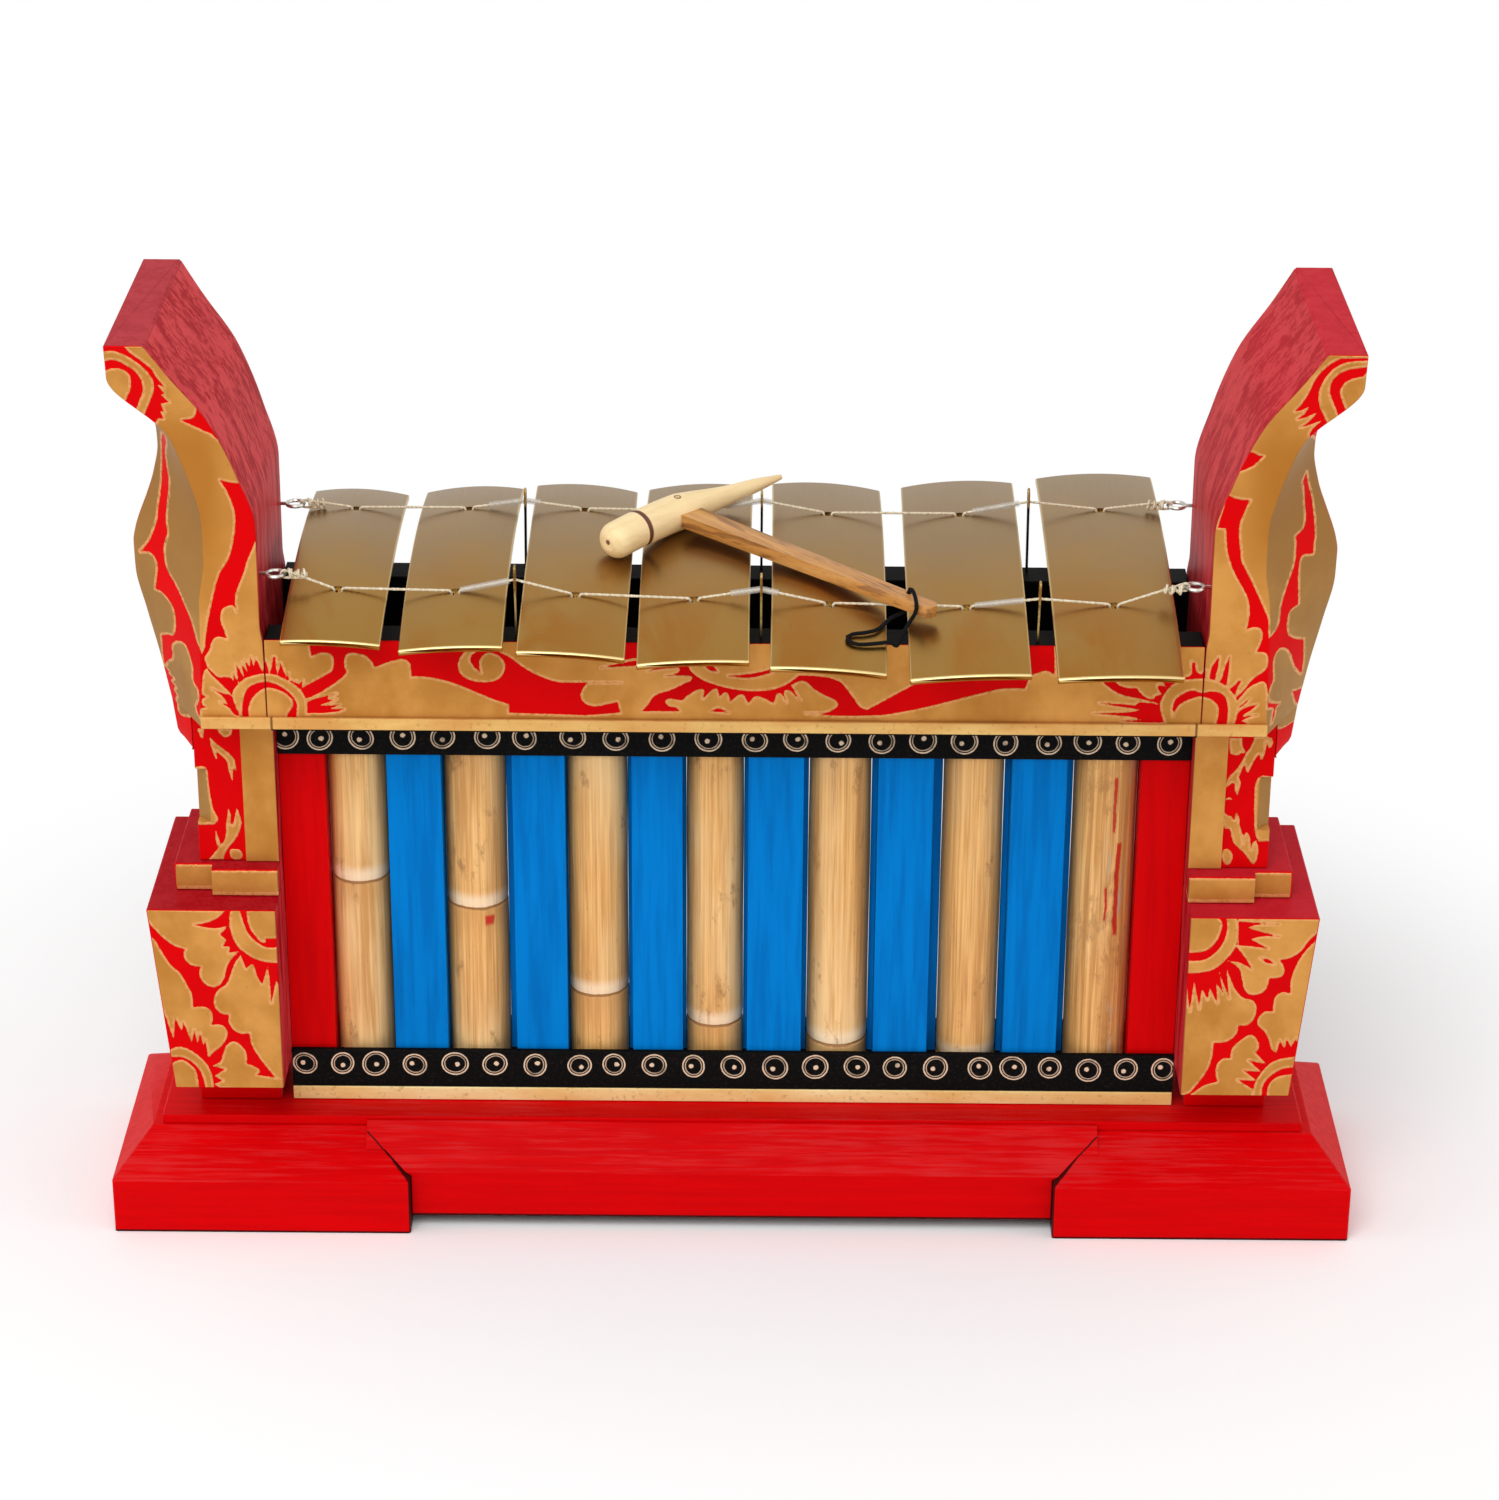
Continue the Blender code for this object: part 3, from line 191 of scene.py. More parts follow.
# Keys, from the shortest on the left: lengths in metres, angles in degrees
KEY_WIDTH = 0.049
KEY_LENGTH = 0.170
KEYS_MIDDLE = -0.0013
KEY_TURN = -0.3
KEY_PITCH = 4.5
KEY_PITCH_GAIN = 1.1
KEY_GAPS = (0.008, 0.008, 0.0045, 0.0111, 0.0097, 0.0128)
KEY_CROWNS = (0.0300, 0.0297, 0.0290, 0.0277, 0.0265, 0.0260, 0.0285)
KEY_ROLLS = (2.2, -3.1, 3.7, -2.6, 3.55, -3.3, -1.3)
KEY_THICKNESS = 0.0028
KEY_LONG_ARCH = 0.009
KEY_CROSS_ARCH = 0.0019
HOLE_RADIUS = 0.0030
PEG_RADIUS = 0.0010
PEG_LEVEL = -KEY_THICKNESS - PEG_RADIUS + 0.0002
SLIVER = 4e-6

# Strings, posts and screw eyes; heights are above the rails
STRING_RADIUS = 0.0007
STRING_GAP = 0.0003
STRING_STEP = 0.0004
STRING_LINES = {"front": (-0.0478, -0.0186), "back": (0.0510, 0.0088)}
POST_AFTER_KEYS = (2, 4, 6)
STRING_HEIGHTS = {"front": (0.0309, 0.0277, 0.0247), "back": (0.0357, 0.0362, 0.0362)}
EYE_HEIGHTS = {("front", "left"): 0.0322, ("back", "left"): 0.0335,
               ("front", "right"): 0.0304, ("back", "right"): 0.0345}
EYE_RING_RADIUS = 0.0045
EYE_WIRE_RADIUS = 0.0010
SLEEVE_RADII = (0.0016, 0.0010)
SLEEVES = {"front": ((-0.1357, -0.1100), (-0.0023, 0.0229), (0.1188, 0.1455)),
           "back": ((-0.1277, -0.1003), (-0.0053, 0.0189), (0.1221, 0.1479))}

# Mallet: heights are above the rails
HEAD_ROUTE = ((-0.0640, -0.0110, 0.0360), (-0.0494, 0.0072, 0.0373), (-0.0299, 0.0283, 0.0384),
              (-0.0010, 0.0510, 0.0405), (0.0229, 0.0698, 0.0422))
HEAD_RADIUS = 0.0095
HEAD_TAPER = ((0.053, 0.0095), (0.089, 0.0046), (0.123, 0.0030))
GROOVE_AT = 0.0235
PLUG = (-0.0299, 0.0261, 0.3804)
CRACK = (-0.0640, -0.0112, 0.3700)

# The paints' small mirror share, and the angle from which an edge is sharp
PAINT_GLOSS = 0.03
SHARP = math.radians(42)

# The painted ornament, drawn on each piece's front in tenths of a millimetre (along the case, up).
# Its outlines are laid on in turn, in gold or back in red, and a star marks a corner

CASE_ORNAMENT = """
redden -3029,4930* -2926,4918 -2892,4882 -2847,4843 -2814,4811 -2790,4786 -2782,4760 -2739,4692*
-2771,4706* -2743,4660* -2759,4652* -2724,4611* -2763,4604* -2751,4556* -2769,4566* -2758,4522*
-2786,4519 -2890,4308* -3039,4346* -3148,4472*
gild -3041,4878* -2984,4888 -2949,4882 -2889,4850 -2830,4795 -2792,4736 -2790,4692 -2797,4660
-2822,4600 -2944,4347 -3012,4328* -3155,4471*
redden -3045,4829* -3017,4831 -2981,4839 -2947,4832 -2917,4813 -2879,4785 -2852,4743 -2843,4695
-2851,4651 -2966,4401 -2992,4364 -3050,4382* -3155,4471*
gild -3051,4769* -3022,4778 -2985,4792 -2947,4792 -2918,4779 -2899,4752 -2897,4719 -2903,4683
-3008,4455 -3030,4423 -3087,4436* -3153,4490*
redden -2671,4515* -2634,4520 -2613,4528 -2600,4546 -2594,4573* -2546,4558* -2483,4446* -2507,4409*
-2533,4441 -2567,4457 -2601,4476 -2636,4493
redden -2509,4187* -2473,4178 -2441,4171 -2409,4169* -2338,4043 -2319,3853 -2356,3853* -2381,3795
-2401,3750 -2417,3698 -2437,3646 -2456,3601 -2467,3563 -2470,3525 -2465,3479* -2471,3501 -2488,3513
-2516,3506 -2538,3486 -2546,3450 -2542,3412 -2529,3374 -2520,3333* -2538,3341 -2562,3344 -2584,3335
-2599,3306 -2608,3275 -2623,3251 -2640,3222* -2645,3255* -2632,3283 -2628,3313 -2623,3351 -2615,3396
-2602,3457 -2585,3525 -2572,3577 -2555,3637 -2535,3690 -2501,3742 -2478,3794 -2465,3846 -2451,3922
-2446,3994 -2457,4058 -2475,4118 -2495,4159
redden -2824,3875* -2815,3824 -2823,3800 -2840,3737 -2841,3701 -2834,3645 -2816,3608 -2789,3575
-2763,3533 -2742,3489 -2720,3446 -2699,3395 -2685,3349 -2672,3303 -2653,3267 -2640,3237* -2623,3180
-2597,3146 -2570,3123 -2542,3127* -2510,3120 -2494,3101 -2479,3080* -2509,3026* -2528,3051
-2551,3078 -2574,3102 -2601,3131 -2627,3172* -2641,3157 -2650,3123 -2656,3077 -2658,3032 -2633,3016*
-2656,3006 -2662,2979 -2643,2958* -2669,2949 -2680,2897* -2690,2906 -2698,2938* -2682,2980
-2676,3014 -2682,3048 -2703,3063 -2708,3092 -2705,3140 -2713,3181 -2727,3220 -2742,3250 -2767,3256
-2802,3240 -2826,3212 -2835,3179 -2831,3148 -2841,3112* -2864,3088 -2894,3035* -2896,3095 -2893,3158
-2891,3221* -2848,3250 -2817,3262 -2801,3304 -2793,3356 -2799,3416 -2818,3454 -2841,3475 -2871,3491
-2903,3488* -2890,3555 -2881,3611 -2886,3647 -2901,3669 -2921,3678 -2949,3675 -2981,3660* -2939,3715
-2917,3751 -2895,3801 -2873,3864 -2864,3934 -2845,4043 -2836,4159 -2826,4303 -2792,4353 -2814,4217
-2805,4136 -2799,4096 -2804,4029 -2813,3976 -2819,3929
redden -2611,3063* -2577,3047 -2544,3033 -2512,3024 -2502,2994 -2487,2948 -2468,2913* -2494,2915
-2512,2934 -2524,2954 -2572,2988* -2533,2977* -2549,3010 -2577,3038
redden -2920,3033* -2880,3020 -2866,3011* -2874,2998 -2841,2994* -2860,2966 -2832,2948* -2847,2922
-2828,2899* -2842,2867 -2831,2825* -2838,2790 -2819,2771* -2778,2788 -2730,2812 -2691,2834*
-2704,2646* -2906,2471* -2921,2665 -2938,2897
redden 2884,4894* 2847,4873 2815,4842 2783,4802 2763,4754 2748,4706 2725,4657 2691,4607* 2725,4615
2757,4637* 2741,4600 2705,4564* 2747,4575 2797,4603* 2764,4553 2724,4520* 2752,4529 2829,4562*
2797,4529 2775,4497 2772,4468* 2885,4279* 3110,4347* 3091,4892* 2985,4899*
gild 2944,4334* 2835,4578 2810,4626 2798,4674 2797,4722 2811,4770 2832,4810 2864,4847 2904,4871
2952,4881 3057,4887* 3099,4813* 3137,4419* 3005,4295*
redden 3036,4852* 2963,4842 2914,4831 2875,4803 2850,4763 2849,4714 2866,4666 2979,4416* 3014,4444*
2905,4683 2897,4715 2905,4747 2927,4775 2967,4792 2998,4799* 3017,4824*
redden 2510,4379* 2536,4364 2558,4360* 2538,4336 2512,4308 2478,4288 2450,4274* 2400,4275*
2412,4405*
redden 2402,4145* 2421,4134 2447,4125 2476,4120 2512,4117* 2498,4085 2485,4040 2473,4000 2469,3951
2474,3896 2483,3842 2491,3790 2521,3731 2552,3672 2584,3605 2612,3546 2640,3479 2645,3419 2650,3378*
2676,3392 2698,3419 2707,3461 2710,3520 2723,3572 2740,3623 2760,3674 2776,3732 2778,3803 2779,3825
2771,3858* 2814,3882 2827,3916 2819,3999 2814,4060 2800,4127* 2818,4156* 2834,4086 2855,4019
2868,3950 2876,3891 2881,3818 2877,3789 2878,3735* 2858,3740 2826,3748 2805,3736 2798,3689 2799,3616
2803,3555 2808,3492* 2780,3489 2761,3474 2752,3440 2751,3395 2764,3342 2804,3301 2860,3265*
2868,3187 2872,3116 2870,3054* 2835,3107 2808,3166 2791,3217 2771,3256 2744,3282 2719,3291 2696,3277
2684,3245 2686,3191 2690,3128 2679,3112 2665,3072* 2656,3116 2639,3143 2598,3131 2565,3108 2539,3074
2513,3039* 2505,3054* 2551,3108 2570,3139 2596,3169 2629,3192 2652,3223 2654,3261 2648,3291
2630,3302 2595,3303* 2610,3343 2618,3381 2616,3411 2601,3433 2573,3437 2538,3425* 2546,3486
2546,3530 2537,3583 2517,3627 2491,3672 2463,3723 2440,3775 2423,3827 2413,3886 2410,3919 2406,3962*
2378,3965* 2364,3965*
redden 2666,3046* 2681,3015 2742,2968* 2719,2963 2714,2928 2699,2891* 2703,2937 2706,2971 2669,2999*
redden 2696,2750* 2706,2799 2737,2796 2766,2769 2808,2747 2892,2671* 2908,2476* 2704,2650*
redden 2822,2981* 2851,2962* 2882,2953* 2878,2847* 2852,2894*
redden -2166,3043* -2155,3069 -2116,3094 -2065,3124 -2021,3151 -2001,3168 -1993,3209 -2000,3247
-2023,3261 -2060,3261 -2103,3244* -2109,3290* -2103,3424* -1508,3429* -1515,3186* -1609,3134*
-1609,3165 -1614,3206 -1638,3229 -1669,3229 -1732,3210 -1789,3185* -1806,3218 -1833,3248 -1861,3256
-1901,3263 -1927,3254 -1940,3223 -1940,3183 -1933,3159 -1966,3118 -2017,3080 -2068,3045 -2119,3018
-2140,3013*
redden -1632,3391* -1606,3138* -1519,3133 -1423,3110 -1327,3072 -1243,3033 -1159,3000 -1063,2975
-942,2956 -782,2950* -774,3017 -759,3070 -734,3108* -807,3108 -891,3115 -975,3147 -1053,3193
-1112,3241 -1172,3274 -1226,3287 -1273,3315* -1440,3392*
gild -1320,3295* -1359,3249 -1376,3196 -1356,3144 -1302,3115 -1239,3108 -1175,3126 -1144,3172
-1143,3214 -1172,3253 -1220,3270 -1257,3247 -1270,3204 -1262,3158* -1300,3197 -1314,3236 -1293,3265
-1244,3296* -1273,3328*
redden -2142,2991* -2082,3014 -1984,3041* -2032,3015 -1987,3010* -2052,2984 -2068,2974 -1970,2978*
-2022,2958 -2041,2955 -1952,2956* -1991,2940 -2123,2930* -2144,2930*
redden -563,3112* -735,3110* -761,3085 -767,3043 -749,3001 -698,2981 -628,2995 -583,3006* -569,2947*
-743,2931* -1126,2942* -1123,3107*
redden -462,2956* -430,2993 -395,3043 -321,3072 -255,3106 -209,3141 -258,3153 -344,3151* -270,3183
-340,3191 -432,3176* -359,3206 -296,3219 -236,3228* -217,3180 -175,3141 -105,3107 -3,3080 99,3070
201,3082 270,3114 323,3158* 403,3156 480,3144 531,3123 570,3075 603,3027 635,2985 686,2971 737,2972
769,2986* 767,3035* 838,3042 888,3064 910,3113* 1039,3135 1268,3148 1382,3154* 1383,3110* 1294,3109
1193,3090 1041,3055 940,3022 839,2984 738,2944* 534,2939 355,2952* 457,2955 498,2973 520,3002
501,3028 456,3050 404,3081 346,3129 283,3105* 331,3021* 258,3079 262,3010* 224,3062 199,3006*
112,3043 71,3005* 38,3053 -18,3014* -39,3063 -73,3042* -92,3083 -156,3027* -156,3079 -232,3045
-258,3019 -321,3026 -343,3012 -328,2987 -290,2977 -271,2958*
redden -29,3153* 47,3160 136,3176 197,3196* 193,3179 136,3156 60,3143
redden -159,3223* -105,3204 -82,3175* -124,3185
redden -115,2959* -77,2976 -25,2951*
redden -664,3193* -562,3218 -483,3234* -484,3204* -562,3200
redden -541,3350* -478,3350* -478,3247* -549,3236*
redden 899,3114* 1110,3137 1447,3162* 1484,3470* 1580,3471* 1597,3170* 1560,3192 1519,3185 1477,3163
1452,3096* 1353,3096 1257,3075 1113,3034 969,2993 824,2959 728,2945 631,2951*
redden 1832,3144* 1891,3148* 1918,3119 1956,3105 2009,3102* 2038,3066 2068,3046 2096,3044* 2101,3059
2138,3067* 2118,3094 2112,3121* 2155,3111* 2131,3141* 2172,3147 2206,3139* 2174,3101* 2158,3039*
2138,3009* 2103,3025 2040,3042 1977,3055 1932,3068 1888,3092 1859,3115
redden 1825,3020* 1916,3016 2004,3007* 2022,3023 2065,3024 2128,3012* 2143,2971 2168,2916* 2058,2915
1939,2921* 1995,2927 2045,2930* 1982,2946 1796,2963* 1887,2966 1968,2969* 2039,2984* 1917,3003
redden -2499,3055* -2496,3147* -2473,3090* -2480,3197* -2443,3121* -2456,3204* -2427,3155*
-2434,3219* -2413,3179* -2407,3241* -2393,3186* -2380,3228* -2350,3153* -2332,3218* -2316,3144*
-2304,3180 -2296,3237* -2283,3237* -2282,3180 -2273,3140* -2259,3206* -2232,3122* -2223,3151*
-2220,3102* -2207,3112* -2185,3092* -2183,3107* -2174,3085* -2152,3113* -2158,3065* -2168,3045*
-2334,2975*
gild -2467,2864* -2487,2967 -2506,3035 -2479,3083 -2433,3121 -2376,3140 -2332,3145 -2283,3138
-2234,3112 -2192,3085 -2156,3045 -2139,3004 -2135,2963 -2144,2866*
redden -2464,2864* -2463,2912 -2459,2974 -2447,3029 -2423,3070 -2378,3094 -2328,3101 -2279,3085
-2243,3061 -2207,3024 -2189,2990 -2188,2949 -2198,2866*
gild -2423,2864* -2430,2912 -2430,2953 -2417,2995 -2394,3029 -2361,3057 -2323,3069 -2286,3061
-2249,3044 -2219,3017 -2204,2990 -2211,2962 -2232,2929 -2251,2866*
redden 2247,3136* 2247,3163* 2267,3170* 2279,3187 2274,3250* 2291,3243* 2301,3197 2323,3178*
2345,3203* 2347,3136*
redden 2366,3130* 2369,3177 2379,3225 2409,3276* 2407,3219 2398,3171 2397,3123*
redden 2396,3144* 2424,3151 2437,3198 2448,3239 2461,3280* 2461,3205 2455,3117*
redden 2470,3100* 2500,3128 2515,3151* 2527,3143* 2511,3111 2500,3063*
redden 2518,2992* 2546,3026 2576,3050* 2547,3015
redden 2500,2898* 2521,2974 2560,3002 2615,3019* 2586,2988 2550,2961 2544,2950* 2619,2960* 2576,2947
2536,2928* 2568,2914* 2569,2899*
gild 2173,2875* 2141,2950 2129,3005 2133,3039 2156,3087 2191,3128 2240,3149 2296,3155 2345,3157
2389,3150 2441,3124 2480,3083 2512,3029 2519,2981 2501,2878*
redden 2197,2951* 2193,2999 2205,3043 2244,3076 2290,3092 2334,3080 2374,3087 2415,3084 2447,3062
2465,3021 2470,2960 2464,2877* 2407,2877* 2419,2935 2424,2970 2416,3011 2389,3040 2351,3056
2320,3059 2271,3042 2228,3016 2202,2975
"""
BLOCK_ORNAMENT = """
gild -2487,1843* -2484,1778 -2470,1729 -2446,1689 -2425,1660 -2400,1654 -2399,1677* -2318,1680*
-2311,1845*
gild -2566,1850* -2577,1790 -2573,1715 -2543,1634 -2490,1581 -2424,1547 -2325,1534* -2320,1630*
-2393,1627 -2447,1660 -2486,1710 -2508,1778 -2524,1850*
gild -3021,1846* -2598,1835* -2635,1796 -2687,1770 -2760,1754* -2694,1738 -2638,1736 -2585,1751*
-2629,1700* -2599,1667* -2619,1630* -2583,1630* -2590,1592* -2531,1605* -2578,1558 -2607,1501
-2619,1451 -2643,1410 -2678,1393 -2719,1409 -2744,1450 -2746,1488 -2736,1513* -2783,1519 -2815,1550
-2822,1588 -2812,1613* -2866,1631 -2920,1675 -2972,1737 -3013,1796*
gild -3040,1711* -2991,1687* -2965,1662 -2935,1599 -2894,1524 -2847,1474 -2817,1411 -2792,1348
-2789,1274* -2728,1277 -2696,1247 -2692,1202 -2700,1170* -2655,1173 -2623,1146 -2625,1094 -2659,1043
-2697,1010 -2726,978* -2736,1087* -2747,1052* -2763,1125* -2777,1057* -2791,1144* -2807,1064*
-2845,1188* -2856,1131* -2886,1214* -2901,1082* -2932,1207* -3032,1460*
gild -2529,1580* -2505,1505 -2495,1513* -2470,1528 -2451,1459 -2425,1412* -2394,1518* -2387,1440
-2384,1303* -2353,1438* -2311,1327* -2312,774* -2561,772* -2363,845 -2385,865* -2419,916 -2461,980
-2497,1057 -2505,1124* -2545,1121 -2583,1140 -2609,1184 -2607,1235* -2641,1237 -2675,1273 -2679,1324
-2656,1375 -2610,1413 -2584,1476 -2559,1540
gild -2705,929* -2666,953 -2646,1004 -2625,1053 -2587,1074 -2543,1041 -2526,999 -2528,943* -2486,926
-2461,900 -2479,877* -2385,862* -2308,863* -2312,761* -2673,797* -2701,820* -2658,841* -2699,868*
-2643,909*
gild -2926,937* -2869,964 -2825,938 -2793,893 -2784,783* -2935,782*
gild -2939,1014* -2876,1041 -2820,1022 -2766,977 -2729,926 -2710,862 -2706,784* -2748,784* -2759,861
-2781,913 -2813,951 -2857,977 -2918,981*
gild 2317,1857* 2478,1846* 2502,1809 2495,1747 2465,1684 2417,1646 2334,1636*
gild 2574,1847* 2588,1760 2577,1672 2531,1597 2467,1539 2401,1522 2329,1517* 2331,1589* 2419,1596
2473,1634 2514,1697 2530,1772 2522,1847*
gild 2582,1835* 3027,1839* 2996,1763 2957,1719 2927,1669 2919,1653* 2875,1618 2809,1597* 2829,1568
2838,1530 2821,1501 2760,1492* 2754,1441 2720,1403 2676,1396 2641,1421 2624,1478 2610,1534 2582,1569
2540,1592* 2604,1582 2670,1545* 2632,1610 2582,1675*
redden 2585,1820* 2794,1804* 2686,1801 2631,1783* 2803,1734* 2712,1734 2655,1717* 2747,1664*
2660,1676 2593,1682*
redden 2708,1611* 2753,1601 2786,1574* 2743,1583
gild 3032,1764* 2993,1720* 2929,1638 2890,1549 2873,1474 2877,1404* 2832,1410 2800,1384 2792,1333
2794,1299* 2749,1295 2718,1256 2720,1218 2756,1180 2782,1129 2798,1078 2826,1053* 2838,1130*
2866,1076* 2873,1137* 2899,1092* 2922,1143* 2942,1086* 3018,1131*
gild 2316,1437* 2341,1437* 2363,1294* 2377,1474* 2412,1311* 2417,1432* 2452,1366* 2459,1435*
2504,1341* 2491,1464* 2530,1401* 2501,1533* 2562,1373* 2539,1549* 2584,1439 2632,1379 2690,1358
2707,1307 2692,1246 2664,1218 2619,1215* 2611,1166 2568,1121 2496,1111* 2494,1037 2476,959 2435,882
2391,816* 2316,777*
gild 2394,806* 2464,859 2528,880* 2517,934 2522,986 2552,1019 2588,1020* 2594,1076 2636,1128
2688,1160 2726,1122 2731,1078 2715,1058* 2777,988* 2682,1010* 2752,943* 2663,948* 2735,887*
2632,894* 2723,832* 2715,767* 2396,765*
gild 2792,768* 2796,859 2829,905 2879,924 2974,932* 2985,770*
gild 2713,767* 2724,871 2754,936 2801,995 2856,1021 2967,1039* 2972,964* 2915,970 2860,959 2806,921
2769,865 2762,768*
"""
COLUMN_ORNAMENT = """
gild -2669,2695* -2638,2660 -2602,2628 -2571,2600 -2546,2568 -2542,2539 -2541,2504* -2553,2516
-2558,2490 -2561,2438* -2571,2477 -2581,2516 -2584,2554 -2601,2580 -2624,2599 -2635,2612 -2632,2554*
-2645,2580 -2658,2625
gild -2704,1999* -2675,2035 -2650,2068 -2625,2098 -2611,2138 -2605,2210 -2591,2290* -2581,2256
-2578,2197 -2563,2230 -2547,2303* -2535,2256 -2527,2211 -2539,2165 -2565,2112 -2597,2072 -2619,2036
-2630,1999*
gild -2663,2171* -2653,2137 -2642,2091 -2647,2068 -2661,2098
gild -2595,2051 -2568,2059 -2539,2050 -2535,2007 -2582,2003
gild -2628,2740* -2546,2741* -2558,2707 -2587,2693 -2611,2709
gild -2728,2739* -2692,2739* -2703,2665*
gild -2757,2524* -2698,2524 -2688,2482 -2682,2385 -2668,2288 -2647,2229 -2667,2198* -2774,2197*
gild 2514,2732* 2580,2733* 2583,2688 2598,2662* 2594,2646 2577,2648 2571,2637 2542,2638 2524,2646
gild 2641,2740* 2722,2740* 2701,2708 2704,2676 2697,2638 2684,2602* 2676,2625 2670,2641 2649,2605
2617,2528* 2606,2566 2598,2582 2588,2553 2576,2511 2587,2479 2582,2450 2573,2406* 2559,2437
2550,2479 2529,2466 2512,2452* 2513,2488 2537,2527 2564,2559 2588,2605 2606,2650 2627,2682
gild 2702,2734* 2732,2734* 2736,2696 2723,2675* 2711,2695
gild 2507,2384* 2532,2398 2548,2385*
gild 2507,2241* 2510,2326* 2520,2300 2550,2289 2566,2268 2568,2294 2573,2315* 2589,2281 2594,2242
2612,2183 2618,2134* 2621,2177 2634,2203* 2650,2171 2662,2099* 2670,2145 2685,2151* 2696,2119
2698,2073 2689,2033 2675,2017 2652,2046 2627,2079 2596,2111 2567,2144 2557,2176 2543,2219 2525,2219
gild 2512,2078 2528,2104 2552,2096 2569,2059 2559,2022 2539,2011 2518,2038
gild 2665,2489 2686,2517 2753,2517* 2776,2149* 2699,2148* 2680,2184 2668,2269 2661,2399
"""


# ---- Shader arithmetic ----


class Field:
    """A value that varies over a surface. Arithmetic on it adds Math nodes to its finish."""

    def __init__(self, finish, socket):
        self.finish = finish
        self.socket = socket

    def math(self, operation, *values, clamp=False):
        settings = {"operation": operation, "use_clamp": clamp}
        return self.finish.node("ShaderNodeMath", settings, dict(enumerate(values)))

    def __add__(self, other):
        return self.math("ADD", self, other)

    __radd__ = __add__

    def __sub__(self, other):
        return self.math("SUBTRACT", self, other)

    def __rsub__(self, other):
        return self.math("SUBTRACT", other, self)

    def __mul__(self, other):
        return self.math("MULTIPLY", self, other)

    def __abs__(self):
        return self.math("ABSOLUTE", self)

    def most(self, other):
        return self.math("MAXIMUM", self, other)

    def clamped(self):
        return self.math("ADD", self, 0.0, clamp=True)

    def between(self, low, high):
        """0 at low, 1 at high and a smooth step from one to the other; low may be the greater."""
        values = {"Value": self, "From Min": low, "From Max": high}
        settings = {"interpolation_type": "SMOOTHSTEP"}
        return self.finish.node("ShaderNodeMapRange", settings, values)


class Finish:
    """A material under construction: its nodes, and the sockets of its main shader."""

    def __init__(self, name, roughness=0.5, metallic=0.0, **constants):
        self.material = bpy.data.materials.new(name)
        self.material.use_nodes = True
        self.tree = self.material.node_tree
        self.shader = self.tree.nodes["Principled BSDF"]
        self.set(Roughness=roughness, Metallic=metallic, **constants)

    def link(self, value, socket):
        if isinstance(value, Field):
            self.tree.links.new(value.socket, socket)
        elif socket.type == "RGBA":
            socket.default_value = (*value[:3], 1.0)
        else:
            socket.default_value = value

    def node(self, kind, settings=None, values=None, output=0):
        made = self.tree.nodes.new(kind)
        for name, setting in (settings or {}).items():
            setattr(made, name, setting)
        for name, value in (values or {}).items():
            self.link(value, made.inputs[name])
        return Field(self, made.outputs[output])

    def set(self, **values):
        """Sets sockets of the main shader; an underscore stands for a space."""
        for name, value in values.items():
            self.link(value, self.shader.inputs[name.replace("_", " ")])
        return self

    def place(self, scale=(1, 1, 1), turn=(0, 0, 0)):
        """Object coordinates in axes turned by these angles, squeezed by these shares."""
        where = self.node("ShaderNodeTexCoord", output="Object")
        size = tuple(1 / share for share in scale)
        values = {"Vector": where, "Scale": size, "Rotation": turn}
        return self.node("ShaderNodeMapping", {"vector_type": "TEXTURE"}, values)

    def axis(self, vector, index):
        return self.node("ShaderNodeSeparateXYZ", {}, {0: vector}, index)

    def coordinate(self, index):
        """x, y or z of the surface."""
        return self.axis(self.place(), index)

    def facing(self, index):
        """The x, y or z part of the surface's direction."""
        return self.axis(self.node("ShaderNodeNewGeometry", output="Normal"), index)

    def distance(self, centre):
        """How far the surface is from a point."""
        values = {0: self.place(), 1: centre}
        return self.node("ShaderNodeVectorMath", {"operation": "DISTANCE"}, values, "Value")

    def noise(self, where, scale, detail=3.0, roughness=0.55, distortion=0.0):
        values = {"Vector": where, "Scale": scale, "Detail": detail}
        values.update({"Roughness": roughness, "Distortion": distortion})
        return self.node("ShaderNodeTexNoise", {}, values)

    def attribute(self, name):
        return self.node("ShaderNodeAttribute", {"attribute_name": name}, {}, "Fac")

    def mix(self, share, first, second):
        """Colours mixed by a share from 0 to 1."""
        values = {0: share, 6: first, 7: second}
        return self.node("ShaderNodeMix", {"data_type": "RGBA"}, values, 2)

    def laid(self, colour, *layers):
        """A colour with others laid on it in turn, each by its own share from 0 to 1."""
        for share, paint in layers:
            colour = self.mix(share, colour, paint)
        return colour

    def bump(self, height, distance, strength):
        values = {"Height": height, "Distance": distance, "Strength": strength}
        return self.set(Normal=self.node("ShaderNodeBump", {}, values))

    def coat(self, colour, roughness, height, distance, strength):
        """Sets colour and roughness, with a relief of this height in units of the distance."""
        return self.set(Base_Color=colour, Roughness=roughness).bump(height, distance, strength)


def dress(node_or_piece, finish):
    """Gives a CAD node, by name, or a piece its one finish."""
    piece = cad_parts.get(node_or_piece, node_or_piece)
    piece.data.materials.clear()
    piece.data.materials.append(finish.material)
    return piece


# ---- Finishes ----


